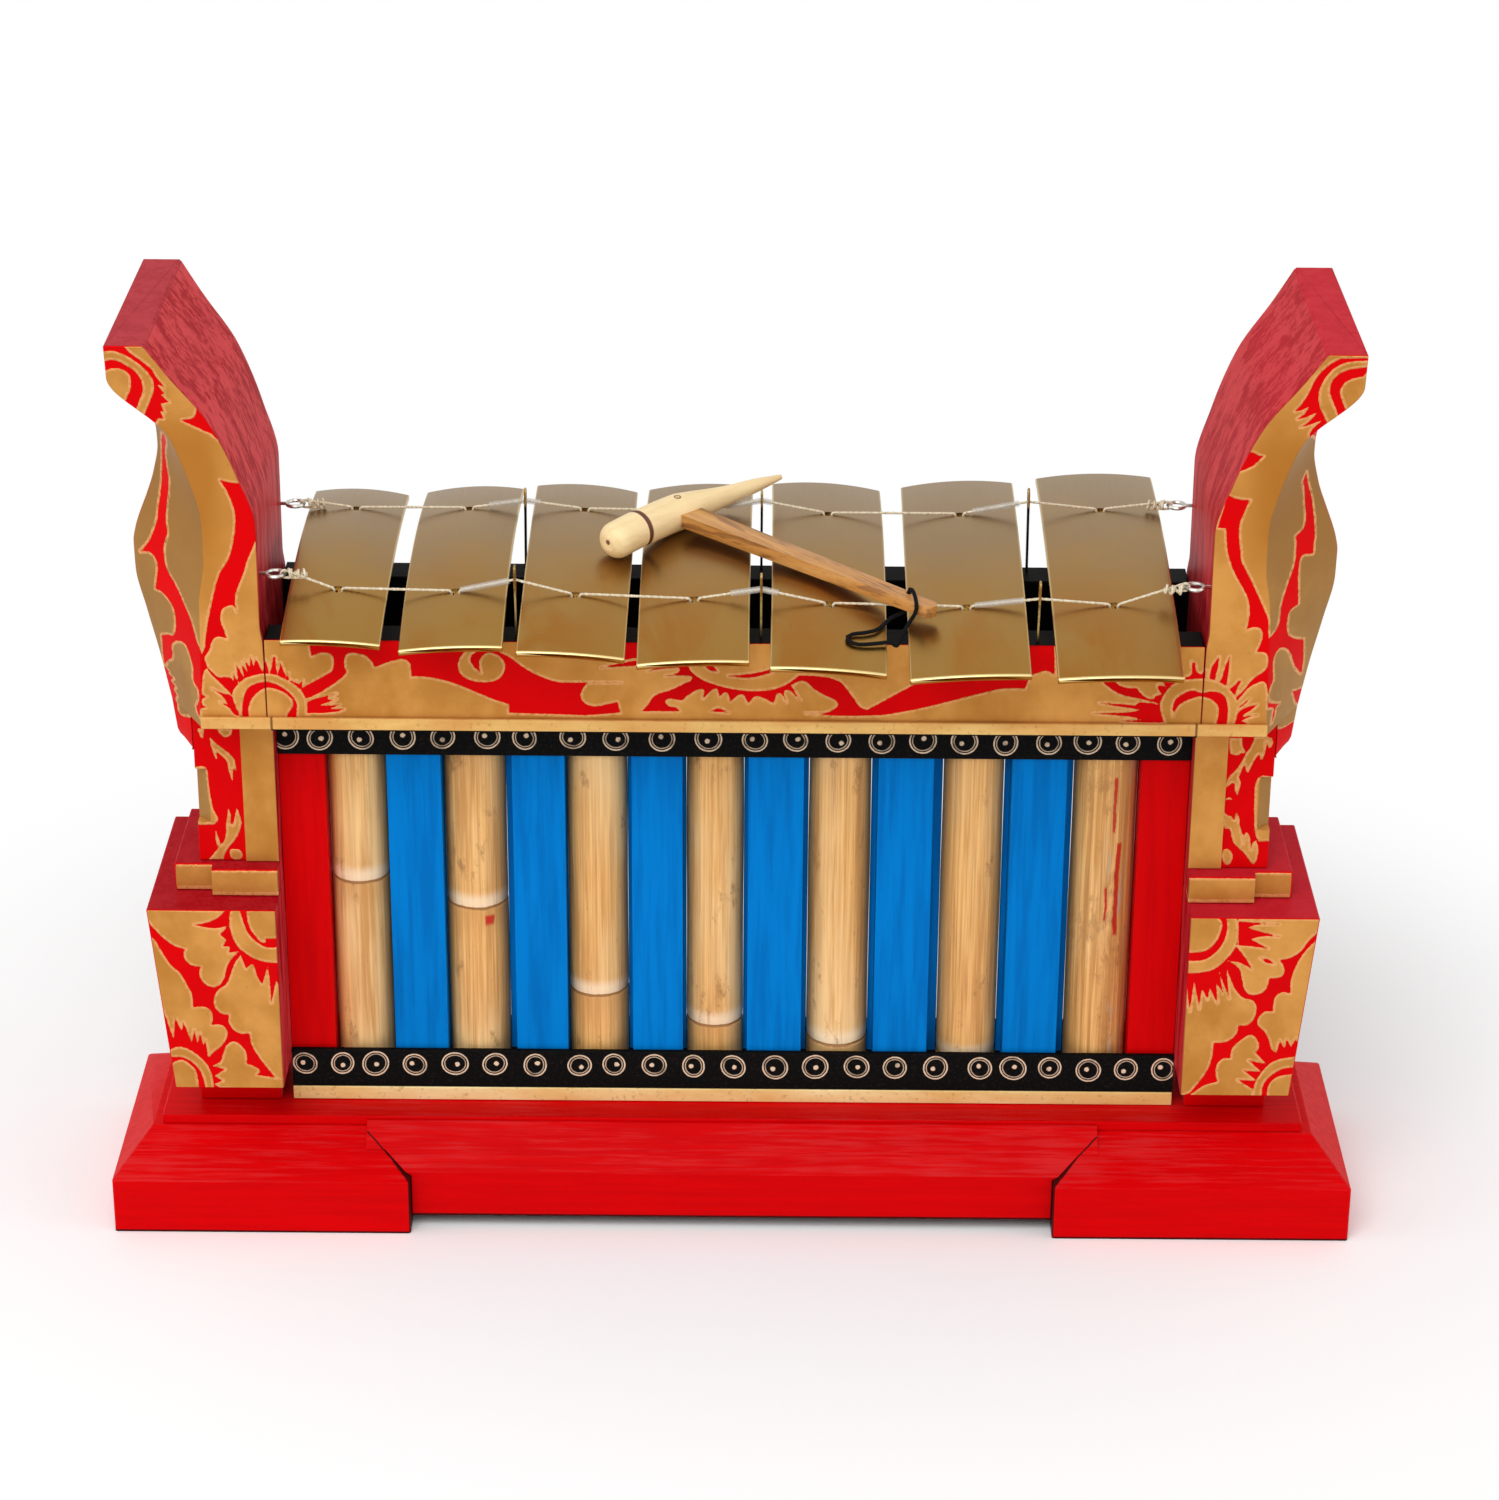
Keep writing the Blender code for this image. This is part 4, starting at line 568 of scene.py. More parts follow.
def painted(look, name, grain=(1, 1, 0.06)):
    """Red enamel with the gold ornament of the "gilding" attribute, which holds the distance from
    the gold's edge in millimetres, below zero on gold. The gold has patches of painted reflection
    and painted shade on its slanting faces; the red side faces have a ground of painted shade with
    paler streaks of painted sheen, and the tops are painted shaded on the left and lit on the
    right."""
    made = Finish(name, 0.4, Specular_IOR_Level=PAINT_GLOSS)
    edge = made.attribute("gilding") + (made.noise(made.place(), 520.0, 3.0) - 0.5) * 0.9
    gold_share = edge.between(0.12, -0.12)
    cloud = made.noise(made.place(), 30.0, 4.0, 0.6)
    speck = made.noise(made.place(), 420.0, 3.0, 0.6)
    along, height = made.coordinate(0), made.coordinate(2)
    # Painted reflection: orange-brown patches on the gold, with a band across the horns' middle
    warm = made.noise(made.place((1, 1, 0.5)), 26.0, 4.0, 0.6).between(0.48, 0.66)
    outer = (abs(along) + (cloud - 0.5) * 0.03).between(0.240, 0.262)
    outer = outer * height.between(0.34, 0.40) * height.between(0.47, 0.435)
    gold = made.laid(
        look.gold_deep,
        (cloud.between(0.34, 0.68), look.gold),
        (speck.between(0.6, 0.85) * 0.3, look.gold_stain),
        ((warm * 0.45).most(outer * 0.85), look.gold_reflection),
        # Painted shade: the horns' slanting wing faces greyer and darker
        (abs(made.facing(0)).between(0.35, 0.62) * 0.6, look.gold_shade),
        (edge.between(-1.5, -0.95) * speck.between(0.75, 0.4) * 0.8, look.pale_rim_and_highlight),
    )
    streaks = made.noise(made.place(grain), 420.0, 5.0, 0.6)
    broad = made.place(tuple(max(share, 0.16) for share in grain))
    patches = made.noise(broad, 90.0, 4.0, 0.6, 0.4)
    level, right = made.facing(2).between(0.5, 0.8), along.between(-0.1, 0.1)
    # Side faces: a ground of painted shade, paler streaks of painted sheen, the right end darker
    side = made.laid(
        look.side_shade,
        ((streaks * 0.5 + patches * 0.5).between(0.43, 0.56), look.side),
        (right * 0.3, look.side_shade),
        # Tops in painted light: shaded on the left, lit on the right; the lower blocks' tops darker
        (level * height.between(0.34, 0.30) * 0.85,
         made.mix(right * 0.8, look.side_shade, look.top_light_right)),
        (level * height.between(0.30, 0.34) * 0.75, made.mix(right, look.top_shade_left, look.top_light_right)),
    )
    front = made.mix(cloud.between(0.4, 0.75) * 0.5, look.red, look.red_deep)
    # Painted light: the side colours go on every face that doesn't face front or back
    red = made.mix(abs(made.facing(1)).between(0.2, 0.5), side, front)
    colour = made.laid(red, (gold_share, gold), (made.attribute("black"), look.black))
    made.set(Metallic=gold_share * 0.3)
    relief = edge.between(0.3, -0.6) + speck * 0.12
    return made.coat(colour, 0.42 + streaks * 0.14, relief, 0.0005, 0.7)


def red_paint(look):
    """Brushed red enamel on wood: streaks along the case, paler patches of painted sheen on the
    upward faces, a soft gloss, and the dark lines under the base and where its board meets the
    feet."""
    made = Finish("red_paint_along", 0.36, Specular_IOR_Level=PAINT_GLOSS)
    grain = made.place((0.05, 1, 1))
    streaks = made.noise(grain, 300.0, 5.0, 0.6)
    cloud = made.noise(made.place(), 14.0, 3.0)
    # Painted sheen: paler patches, laid only on the upward faces
    top_sheen = (made.noise(grain, 520.0, 4.0, 0.6) * 0.6 + cloud * 0.4).between(0.46, 0.66)
    out = abs(made.coordinate(0)) - FOOT_INNER
    height = made.coordinate(2) + (streaks - 0.5) * 0.001
    rise = height - FOOT_WALL
    hip = abs(out - rise * HIP_SLOPE).between(0.0009, 0.0003)
    hip = hip * rise.between(-0.001, 0) * rise.between(HIP_RISE, HIP_RISE - 0.0005)
    wall = abs(out).between(0.0010, 0.0004) * rise.between(0.001, 0)
    under = (height - BOARD_BOTTOM).between(0.0016, 0.0008) * out.between(0.001, 0)
    # Dark lines: the joints of board and feet, the base's bottom edge and the board's underside
    seam = hip.most(wall).most(under).most(height.between(0.0018, 0.0010))
    colour = made.laid(
        look.red,
        (streaks.between(0.3, 0.72) * 0.7, look.red_deep),
        (cloud.between(0.3, 0.75) * 0.4, look.red),
        (top_sheen * made.facing(2).between(0.25, 0.5) * 0.3, look.side),
        (seam * 0.9, look.black),
    )
    return made.coat(colour, 0.3 + streaks * 0.18, streaks, 0.0003, 0.4)


def gold_paint(look, name, pale, deep, seam=None):
    """Brassy gold paint: cloudy patches, a soft metallic gloss and a dark joint at each end."""
    made = Finish(name, 0.42, 0.1, Specular_IOR_Level=0.25)
    cloud = made.noise(made.place((0.3, 1, 1)), 40.0, 4.0, 0.6)
    speck = made.noise(made.place(), 420.0, 2.0)
    colour = made.mix(cloud.between(0.32, 0.7), deep, pale)
    colour = made.mix(speck.between(0.56, 0.8) * 0.4, colour, look.gold_stain)
    if seam:
        line = abs(abs(made.coordinate(0)) - seam).between(0.0009, 0.0003)
        colour = made.mix(line, colour, look.gold_stain)
    return made.coat(colour, 0.36 + cloud * 0.16, speck, 0.0002, 0.3)


def blue_paint(look):
    """Flat blue paint brushed along the slats, with dull black tongues at their ends."""
    made = Finish("blue_paint", 0.5, Specular_IOR_Level=PAINT_GLOSS)
    along = made.noise(made.place((1, 1, 0.06)), 220.0, 4.0)
    colour = made.mix(along.between(0.32, 0.62), look.blue_deep, look.blue)
    colour = made.mix(tongue(made), colour, look.black)
    return made.coat(colour, 0.45 + along * 0.15, along, 0.0003, 0.4)


def tongue(made):
    """1 on the thin tongues in the slats' middle plane and 0 on the slats."""
    height = made.coordinate(2)
    past = (height - SLAT_LOW).between(0, -0.0006) + (height - SLAT_HIGH).between(0, 0.0006)
    return abs(made.coordinate(1)).between(0.0016, 0.0011) * past


def red_slat(look, name, inner):
    """The red slats: a thin pink painted highlight down the edge on the tubes' side."""
    made = Finish(name, 0.4, Specular_IOR_Level=PAINT_GLOSS)
    along = made.noise(made.place((1, 1, 0.06)), 260.0, 4.0)
    colour = made.laid(
        look.red,
        (along.between(0.4, 0.75) * 0.6, look.red_deep),
        # Painted highlight: the edge facing the tubes
        ((made.coordinate(0) * inner).between(-0.1972, -0.1966), look.pale_rim_and_highlight),
        (tongue(made), look.black),
    )
    return made.coat(colour, 0.34 + along * 0.15, along, 0.0003, 0.4)


def black_paint(look):
    """Dull black paint."""
    made = Finish("black_paint", 0.5, Specular_IOR_Level=PAINT_GLOSS)
    cloud = made.noise(made.place(), 60.0, 3.0)
    colour = made.mix(cloud.between(0.3, 0.7), look.black, look.black_worn)
    return made.coat(colour, 0.4 + cloud * 0.2, cloud, 0.0003, 0.4)


def ringed_paint(look):
    """Black paint with a brushed double ring and an off-centre dot at each place of the "ring" and
    "dot" attributes, which hold the distances from them in millimetres."""
    made = Finish("ringed_paint", 0.45, Specular_IOR_Level=PAINT_GLOSS)
    rough = made.noise(made.place(), 700.0, 3.0, 0.6)
    ring, dot = made.attribute("ring") + (rough - 0.5) * 0.5, made.attribute("dot")
    outer = abs(ring - 6.3).between(0.5, 0.25)
    inner = abs(ring - 5.0).between(0.4, 0.14)
    spot = (dot + (rough - 0.5) * 1.2).between(1.5, 1.1)
    fading = made.noise(made.place(), 130.0, 2.0).between(0.25, 0.5)
    line = outer.most(inner * 0.7).most(spot) * (0.5 + fading * 0.5)
    ground = made.mix(rough.between(0.5, 0.8), look.black, look.black_worn)
    return made.coat(made.mix(line, ground, look.ring), 0.36 + rough * 0.2, line, 0.0002, 0.4)


def bamboo(look, index):
    """Dried bamboo, from the "above_node" attribute in millimetres: a whitish bloom over the node,
    a brown band under it, long fibres, grey streaks, mottled spots and painted shade down the
    sides; each tube is its own cut."""
    made = Finish(f"bamboo_{index}", 0.42, Specular_IOR_Level=0.25)
    cut = (0.37 * index, 0.23 * index, 0.51 * index)
    shift = made.node("ShaderNodeVectorMath", {"operation": "ADD"}, {0: made.place(), 1: cut})

    def grained(share, *settings):
        """Noise that is stretched along the tube."""
        where = made.node("ShaderNodeMapping", {}, {"Vector": shift, "Scale": (1, 1, share)})
        return made.noise(where, *settings)

    x, last = TUBES[index - 1][0], index == KEY_COUNT
    fibres = grained(0.015, 700.0, 4.0, 0.65)
    mottle = grained(0.45, 80.0, 5.0, 0.7)
    cloud = grained(0.3, 22.0, 3.0)
    above = made.attribute("above_node") + (mottle - 0.5) * 2.4
    line = abs(above).between(1.1, 0.5)
    colour = made.laid(
        look.bamboo_deep,
        (fibres.between(0.3, 0.7), look.bamboo),
        (cloud.between(0.4, 0.7) * 0.6, look.bamboo_pale),
        (grained(0.05, 150.0, 4.0, 0.6).between(0.5, 0.68) * 0.8, look.bamboo_deep),
        (above.between(0.3, 1.2) * above.between(11.0, 4.0) * 0.7, look.bamboo_bloom),
        (above.between(-22.0, -1.5) * above.between(0.2, -0.6) * 0.5, look.bamboo_deep),
        (line * 0.85, look.bamboo_stain),
        (mottle.between(0.52 if last else 0.58, 0.7) * 0.6, look.bamboo_stain),
    )
    if last:
        worn = grained(0.06, 260.0, 4.0, 0.6).between(0.58, 0.62)
        worn = worn * made.coordinate(0).between(x - 0.002, x + 0.004)
        scratches = grained(0.03, 300.0, 3.0).between(0.52, 0.6)
        colour = made.laid(colour, (scratches * 0.7, look.bamboo_deep), (worn * 0.8, look.scratch))
    for start, across, down, wide in RED_SPOTS.get(index, ()):
        aside = made.coordinate(0) - (x + across) + (mottle - 0.5) * 0.004 + (cloud - 0.5) * 0.006
        height = made.coordinate(2) - start
        mark = abs(aside).between(wide, wide * 0.6) * height.between(0.002, 0)
        mark = mark * (height + down).between(-0.002, 0.001) * made.coordinate(1).between(0, -0.004)
        colour = made.mix(mark * 0.9, colour, look.red_deep)
    # Painted shade: the tube's sides, turned away across the case, darker
    side = abs(made.facing(0)).between(0.55, 0.95) * grained(0.1, 60.0, 3.0).between(0.35, 0.6)
    specks = grained(0.03, 300.0, 3.0, 0.7).between(0.55, 0.7)
    colour = made.laid(colour, (side * 0.6, look.bamboo_deep), (specks * 0.35, look.bamboo_stain))
    return made.coat(colour, 0.4 + fibres * 0.2, fibres + line * 0.5, 0.0003, 0.5)


def brass(look):
    """Satin brass keys, from a UV map across and along the key: a painted highlight on the front
    rim and the sides, orange-brown patches of painted reflection towards the front and left,
    painted shade greying the face towards the back, and a brushed, cloudy face."""
    made = Finish("key_brass", 0.3, 1.0)
    spot = made.node("ShaderNodeUVMap", {"uv_map": "key"})
    across, along = (made.axis(spot, index) * 2.0 - 1.0 for index in (0, 1))
    brushed = made.noise(made.place((1, 0.02, 1)), 900.0, 3.0)
    cloud = made.noise(made.place(), 24.0, 3.0)
    # Painted reflection: orange-brown patches towards the front and left
    warm = made.noise(made.place((1.6, 0.7, 1)), 16.0, 4.0, 0.6, 0.6).between(0.38, 0.62)
    reach = (0.25 - along).between(0.1, 1.1) * (0.8 - across * 0.6).clamped()
    # Front rim: painted highlight along its upper edge, the warm painted reflection below
    rim = made.mix(made.facing(2).between(0.0, 0.25), look.brass_reflection, look.brass_highlight)
    colour = made.laid(
        look.brass,
        # Darker, greyer cloud, deepened towards the back as painted shade
        ((along * 0.5 + cloud * 0.7).between(-0.1, 0.8), look.brass_shade_and_cloud),
        (warm * reach * 0.8, look.brass_reflection),
        # Painted highlight: paler sides
        (abs(across).between(0.965, 0.99) * 0.4, look.brass_highlight),
        (along.between(-0.985, -0.993), rim),
    )
    return made.coat(colour, 0.22 + brushed * 0.1 + cloud * 0.08, brushed, 0.00005, 0.4)


def wire(name, colour, dark_below=None):
    """Drawn wire with a dull film, blackened below a height where one is given."""
    made = Finish(name, 0.3, 1.0)
    film = made.noise(made.place(), 300.0, 3.0)
    shade = made.mix(film.between(0.4, 0.75), colour, tuple(part * 0.45 for part in colour))
    if dark_below:
        height = made.coordinate(2) - dark_below + (film - 0.5) * 0.004
        shade = made.mix(height.between(0.002, 0), shade, (0.01, 0.01, 0.01))
    return made.set(Base_Color=shade, Roughness=0.25 + film * 0.25)


def turned_wood(look):
    """Pale carved wood: fine grain along the head, dark stain in the groove of the "along"
    attribute (millimetres from the blunt end), and the peg's plug."""
    made = Finish("mallet_wood", 0.5)
    grain = made.noise(made.place((0.1, 1, 1), (0, 0, 0.75)), 330.0, 5.0, 0.6)
    along = made.attribute("along") + (made.noise(made.place(), 60.0, 3.0) - 0.5) * 0.5
    colour = made.laid(
        look.wood,
        (grain.between(0.4, 0.8) * 0.5, look.wood_deep),
        (abs(along - GROOVE_AT / MM).between(1.9, 1.1), look.groove),
        (along.between(90.0, 121.0) * 0.35, look.wood_deep),
    )
    for centre, size in ((PLUG, 0.0019), (CRACK, 0.0013)):
        away = made.distance(centre) + (made.noise(made.place(), 900.0, 2.0) - 0.5) * 0.0008
        colour = made.mix(away.between(size * 1.15, size * 0.9) * 0.9, colour, look.groove)
        if centre is PLUG:
            colour = made.mix(away.between(size * 0.7, size * 0.5), colour, look.wood_deep)
    return made.coat(colour, 0.42 + grain * 0.16, grain, 0.0003, 0.4)


def handle_bamboo(look):
    """Brown split bamboo with dark grain along the handle and lighter streaks."""
    made = Finish("handle_bamboo", 0.42)
    turned = made.place((0.05, 1, 1), (0, 0, -0.74))
    grain = made.noise(turned, 620.0, 5.0, 0.65)
    colour = made.laid(
        look.handle_deep,
        (grain.between(0.3, 0.5), look.handle),
        (made.noise(turned, 70.0, 2.0).between(0.5, 0.62) * 0.5, look.handle_pale),
        (made.noise(turned, 240.0, 3.0, 0.5).between(0.54, 0.64) * 0.7, look.handle_deep),
    )
    return made.coat(colour, 0.36 + grain * 0.16, grain, 0.0004, 0.6)


def black_cord():
    """Dyed cotton cord, with fine twisted strands."""
    made = Finish("cord_cotton", 0.9, Specular_IOR_Level=0.1)
    strands = made.noise(made.place(), 1400.0, 3.0)
    made.set(Base_Color=made.mix(strands, (0.002, 0.002, 0.002), (0.012, 0.011, 0.012)))
    return made.bump(strands, 0.0004, 0.8)


def pale_string(look):
    """Twisted off-white string."""
    made = Finish("pale_string", 0.7)
    strands = made.noise(made.place(), 900.0, 3.0)
    made.set(Base_Color=made.mix(strands.between(0.3, 0.7), look.string_deep, look.string))
    return made.bump(strands, 0.0002, 0.5)


def clear_sleeve():
    """Soft clear tubing, a little cloudy."""
    made = Finish("clear_sleeve", 0.18, Alpha=0.3)
    haze = made.noise(made.place(), 260.0, 3.0)
    colour = made.mix(haze, (0.55, 0.52, 0.45), (0.9, 0.88, 0.84))
    return made.set(Base_Color=colour, Roughness=0.12 + haze * 0.2)


def make_finishes(look):
    """Every finish of the instrument, by name."""
    finishes = {
        "painted": painted(look, "ornament_paint"),
        "painted_along": painted(look, "ornament_paint_along", (0.06, 1, 1)),
        "red_along": red_paint(look),
        "molding": gold_paint(look, "molding_gold", look.molding, look.gold, 0.2315),
        "strip": gold_paint(look, "strip_gold", look.strip, look.molding),
        "blue": blue_paint(look),
        "red_slat_left": red_slat(look, "red_slat_left", 1),
        "red_slat_right": red_slat(look, "red_slat_right", -1),
        "black": black_paint(look),
        "ringed": ringed_paint(look),
        "brass": brass(look),
        "wire_front": wire("post_wire_front", look.wire),
        "wire_back": wire("post_wire_back", look.wire, RAIL_TOP + 0.0325),
        "steel": wire("screw_eye_steel", (0.62, 0.58, 0.52)),
        "wood": turned_wood(look),
        "handle": handle_bamboo(look),
        "cord": black_cord(),
        "string": pale_string(look),
        "sleeve": clear_sleeve(),
    }
    for index in range(1, KEY_COUNT + 1):
        finishes[f"bamboo_{index}"] = bamboo(look, index)
    return finishes


# Each solid that stays: its finish, the softening of its edges in metres
SOFTENED = {
    "foot_block": ("red_along", 0.0012),
    "base_board": ("red_along", 0.0012),
    "base_plate": ("red_along", 0.0010),
    "front_molding": ("molding", 0.0006),
    "back_molding": ("molding", 0.0006),
    "front_base_strip": ("strip", 0.0005),
    "back_base_strip": ("strip", 0.0005),
    "case_floor": ("black", 0.0),
    "slat_1": ("red_slat_left", 0.0005),
    "slat_8": ("red_slat_right", 0.0005),
    "slat_": ("blue", 0.0005),
}


# ---- Shapes ----


def run_along(route):
    """The length of a route up to each of its points."""
    return np.concatenate([[0.0], np.cumsum(np.linalg.norm(np.diff(route, axis=0), axis=1))])


def cubic(start, end, leave, arrive, t):
    """Places at shares t of a span: the cubic curve from start to end whose directions at its ends,
    each as long as it carries in a whole span, are leave and arrive."""
    return (
        start * ((1 + 2 * t) * (1 - t) ** 2)
        + end * (t * t * (3 - 2 * t))
        + leave * (t * (1 - t) ** 2)
        - arrive * (t * t * (1 - t))
    )


def smooth_route(points, count):
    """Evenly spaced points on one smooth curve through the given ones: on each span, the cubic
    that has the chord through both neighbours as its direction at either end."""
    places = np.array(points, float)
    lengths = run_along(places)
    last = len(places) - 1
    low, high = (np.clip(np.arange(last + 1) + step, 0, last) for step in (-1, 1))
    tangents = (places[high] - places[low]) / (lengths[high] - lengths[low])[:, None]
    s = np.linspace(0.0, lengths[-1], count)
    i = np.clip(np.searchsorted(lengths, s, side="right") - 1, 0, last - 1)
    span = (lengths[i + 1] - lengths[i])[:, None]
    t = (s - lengths[i])[:, None] / span
    return cubic(places[i], places[i + 1], tangents[i] * span, tangents[i + 1] * span, t)


def smooth_value(points, at):
    """A smooth curve through (position, value) points that never swings past them: a cubic on each
    span, with the harmonic mean of the neighbouring slopes at its ends."""
    x, y = np.array(points, float).T
    slopes = np.diff(y) / np.diff(x)
    before, after = slopes[:-1], slopes[1:]
    bends = before * after > 0
    inner = np.where(bends, 2 * before * after / np.where(bends, before + after, 1.0), 0.0)
    tangents = np.concatenate([slopes[:1], inner, slopes[-1:]])
    at = np.clip(at, x[0], x[-1])
    i = np.clip(np.searchsorted(x, at, side="right") - 1, 0, len(x) - 2)
    span = x[i + 1] - x[i]
    return cubic(y[i], y[i + 1], tangents[i] * span, tangents[i + 1] * span, (at - x[i]) / span)


def outlines(ornament):
    """The outlines of an ornament in the order of its text, each as its tool and its points."""
    words = ornament.split()
    starts = [n for n, word in enumerate(words) if word.isalpha()] + [len(words)]
    return [(words[n], words[n + 1:end]) for n, end in zip(starts, starts[1:])]


def closed_curve(words):
    """A closed polygon through a drawn outline's points: a cubic on each span, whose direction is
    the chord through both neighbours, or the span's own chord at a corner."""
    corner = np.array([word.endswith("*") for word in words])[:, None]
    points = np.array([word.strip("*").split(",") for word in words], float) / 10
    after = np.roll(points, -1, axis=0)
    chord = after - points
    length = np.linalg.norm(chord, axis=1, keepdims=True)
    through = after - np.roll(points, 1, axis=0)
    through /= np.linalg.norm(through, axis=1, keepdims=True) + 1e-9
    leave = np.where(corner, chord, through * length)
    arrive = np.where(np.roll(corner, -1, axis=0), chord, np.roll(through, -1, axis=0) * length)
    t = (np.arange(5) / 5)[:, None]
    curve = cubic(points[:, None], after[:, None], leave[:, None], arrive[:, None], t)
    return curve.reshape(-1, 2)


def signed_distance(polygon, points):
    """Distance from a closed polygon, negative inside it and no further than REACH: the least
    distance to its sides, signed by the number of times that they wind round the point."""
    low, high = polygon.min(0) - REACH, polygon.max(0) + REACH
    near = np.flatnonzero(((points > low) & (points < high)).all(1))
    distance = np.full(len(points), REACH)
    after = np.roll(polygon, -1, axis=0)
    side = after - polygon
    square = (side**2).sum(-1) + 1e-12
    for part in np.array_split(near, len(near) // 4000 + 1):
        p = points[part][:, None]
        t = np.clip(((p - polygon) * side).sum(-1) / square, 0, 1)
        gap = np.sqrt(((p - polygon - t[..., None] * side) ** 2).sum(-1)).min(1)
        left = side[:, 0] * (p[..., 1] - polygon[:, 1]) - side[:, 1] * (p[..., 0] - polygon[:, 0])
        starts_low, ends_high = polygon[:, 1] <= p[..., 1], after[:, 1] > p[..., 1]
        up = (starts_low & ends_high & (left > 0)).sum(1)
        down = (~starts_low & ~ends_high & (left < 0)).sum(1)
        distance[part] = np.where(up != down, -1, 1) * np.minimum(gap, REACH)
    return distance


def gilding(points, ground, ornament):
    """The distance from the gold's edge at points in metres, after each outline is laid on."""
    flat = np.ascontiguousarray(points[:, [0, 2]]) / MM
    field = np.full(len(flat), float(ground))
    for tool, words in outlines(ornament):
        distance = signed_distance(closed_curve(words), flat)
        field = np.minimum(field, distance) if tool == "gild" else np.maximum(field, -distance)
    return field


def rounded_rings(corners, cells, fillet):
    """Rows of points round each row of corners (rows, corners, 2): a parabolic arc of five points
    at each corner, and each edge cut into as many cells as asked. Returns them with each column's
    edge."""
    def cut_back(step):
        way = np.roll(corners, step, axis=1) - corners
        reach = np.linalg.norm(way, axis=2, keepdims=True) + 1e-12
        return corners + way / reach * np.minimum(fillet, 0.4 * reach)

    starts, ends = cut_back(1), cut_back(-1)
    columns, edges = [], []
    count = corners.shape[1]
    for index in range(count):
        start, corner, end = starts[:, index], corners[:, index], ends[:, index]
        for t in np.linspace(0, 1, 5):
            columns.append(start * (1 - t) ** 2 + corner * 2 * t * (1 - t) + end * t * t)
            edges.append(index if t >= 0.5 else (index - 1) % count)
        for t in np.arange(1, cells[index]) / cells[index]:
            columns.append(end * (1 - t) + starts[:, (index + 1) % count] * t)
            edges.append(index)
    return np.stack(columns, axis=1), np.array(edges)


def with_rims(rings, levels, rim):
    """Closes a stack of rings towards its caps: quarter circles that draw the first and last ring
    in by the rim's radius. Returns points (rows, columns, 3)."""
    def drawn_in(ring, depth):
        run = np.roll(ring, -1, axis=0) - np.roll(ring, 1, axis=0)
        side = np.stack([run[:, 1], -run[:, 0]], axis=1)
        side /= np.linalg.norm(side, axis=1, keepdims=True) + 1e-12
        x, y = ring.T
        area = (x * np.roll(y, -1) - y * np.roll(x, -1)).sum()
        return ring - np.sign(area) * side * depth

    levels = np.array(levels, float)
    turns = np.radians((0, 30, 60))
    low, high = levels[0], levels[-1]
    keep = (levels > low + rim) & (levels < high - rim)
    keep[[0, -1]] = True
    rings, middle = rings[keep], levels[keep]
    middle[0], middle[-1] = low + rim, high - rim
    bottom = [drawn_in(rings[0], rim - rim * math.sin(a)) for a in turns]
    top = [drawn_in(rings[-1], rim - rim * math.sin(a)) for a in turns[::-1]]
    rows = np.concatenate([bottom, rings, top])
    rise = rim * np.cos(turns)
    heights = np.concatenate([low + rim - rise, middle, high - rim + rise[::-1]])
    tall = np.broadcast_to(heights[:, None, None], rows.shape[:2] + (1,))
    return np.concatenate([rows, tall], axis=2)


def make_piece(name, points, fields=None, wrap_rows=False, chart=None):
    """A closed piece from a grid of points whose columns run round it: quads between neighbours,
    a cap on the first and last row unless the rows close too, and its faces turned outwards. Each
    field is a number at the points, and the chart is their place on the key."""
    rows, columns = points.shape[:2]
    index = np.arange(rows * columns).reshape(rows, columns)
    if wrap_rows:
        index = np.vstack([index, index[:1]])
    index = np.hstack([index, index[:, :1]])
    sides = [index[:-1, :-1], index[:-1, 1:], index[1:, 1:], index[1:, :-1]]
    quads = np.stack(sides, axis=-1).reshape(-1, 4)
    caps = [] if wrap_rows else [index[0, :-1][::-1], index[-1, :-1]]
    corners = np.concatenate([quads.ravel(), *caps])
    cap_starts = len(quads) * 4 + columns * np.arange(len(caps))
    starts = np.concatenate([np.arange(len(quads)) * 4, cap_starts])
    flat = np.ascontiguousarray(points.reshape(-1, 3), float)
    a, b, c, d = (flat[quads[:, n]] for n in range(4))
    volume = (a * np.cross(b, c)).sum() + (a * np.cross(c, d)).sum()
    for cap in caps:
        volume += (flat[cap[0]] * np.cross(flat[cap[1:-1]], flat[cap[2:]])).sum()
    mesh = bpy.data.meshes.new(name)
    mesh.vertices.add(len(flat))
    mesh.vertices.foreach_set("co", flat.ravel())
    mesh.loops.add(len(corners))
    mesh.loops.foreach_set("vertex_index", corners.astype(np.int32))
    mesh.polygons.add(len(starts))
    mesh.polygons.foreach_set("loop_start", starts.astype(np.int32))
    mesh.update(calc_edges=True)
    for field, values in (fields or {}).items():
        attribute = mesh.attributes.new(field, "FLOAT", "POINT")
        attribute.data.foreach_set("value", np.ravel(values).astype(np.float32))
    if chart is not None:
        spots = chart.reshape(-1, 2)[corners].ravel().astype(np.float32)
        mesh.uv_layers.new(name="key").data.foreach_set("uv", spots)
    if volume < 0:
        mesh.flip_normals()
    mesh.shade_smooth()
    mesh.set_sharp_from_angle(angle=SHARP)
    for cap in range(len(caps)):
        mesh.polygons[-1 - cap].use_smooth = False
    return link(bpy.data.objects.new(name, mesh))


def settle(piece, finish, body, slot, *nodes):
    """Finishes a piece, lets it ride on its body and hides the given solids."""
    dress(piece, finish)
    if nodes:
        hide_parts(*nodes)
    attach(piece, body)


def settle_gilded(name, points, fields, finish, node):
    """A painted piece of the case from its points, in place of its solid."""
    settle(make_piece(name, points, fields), finish, "root", "red_gold_ornament", node)


def link(piece):
    bpy.context.scene.collection.objects.link(piece)
    return piece


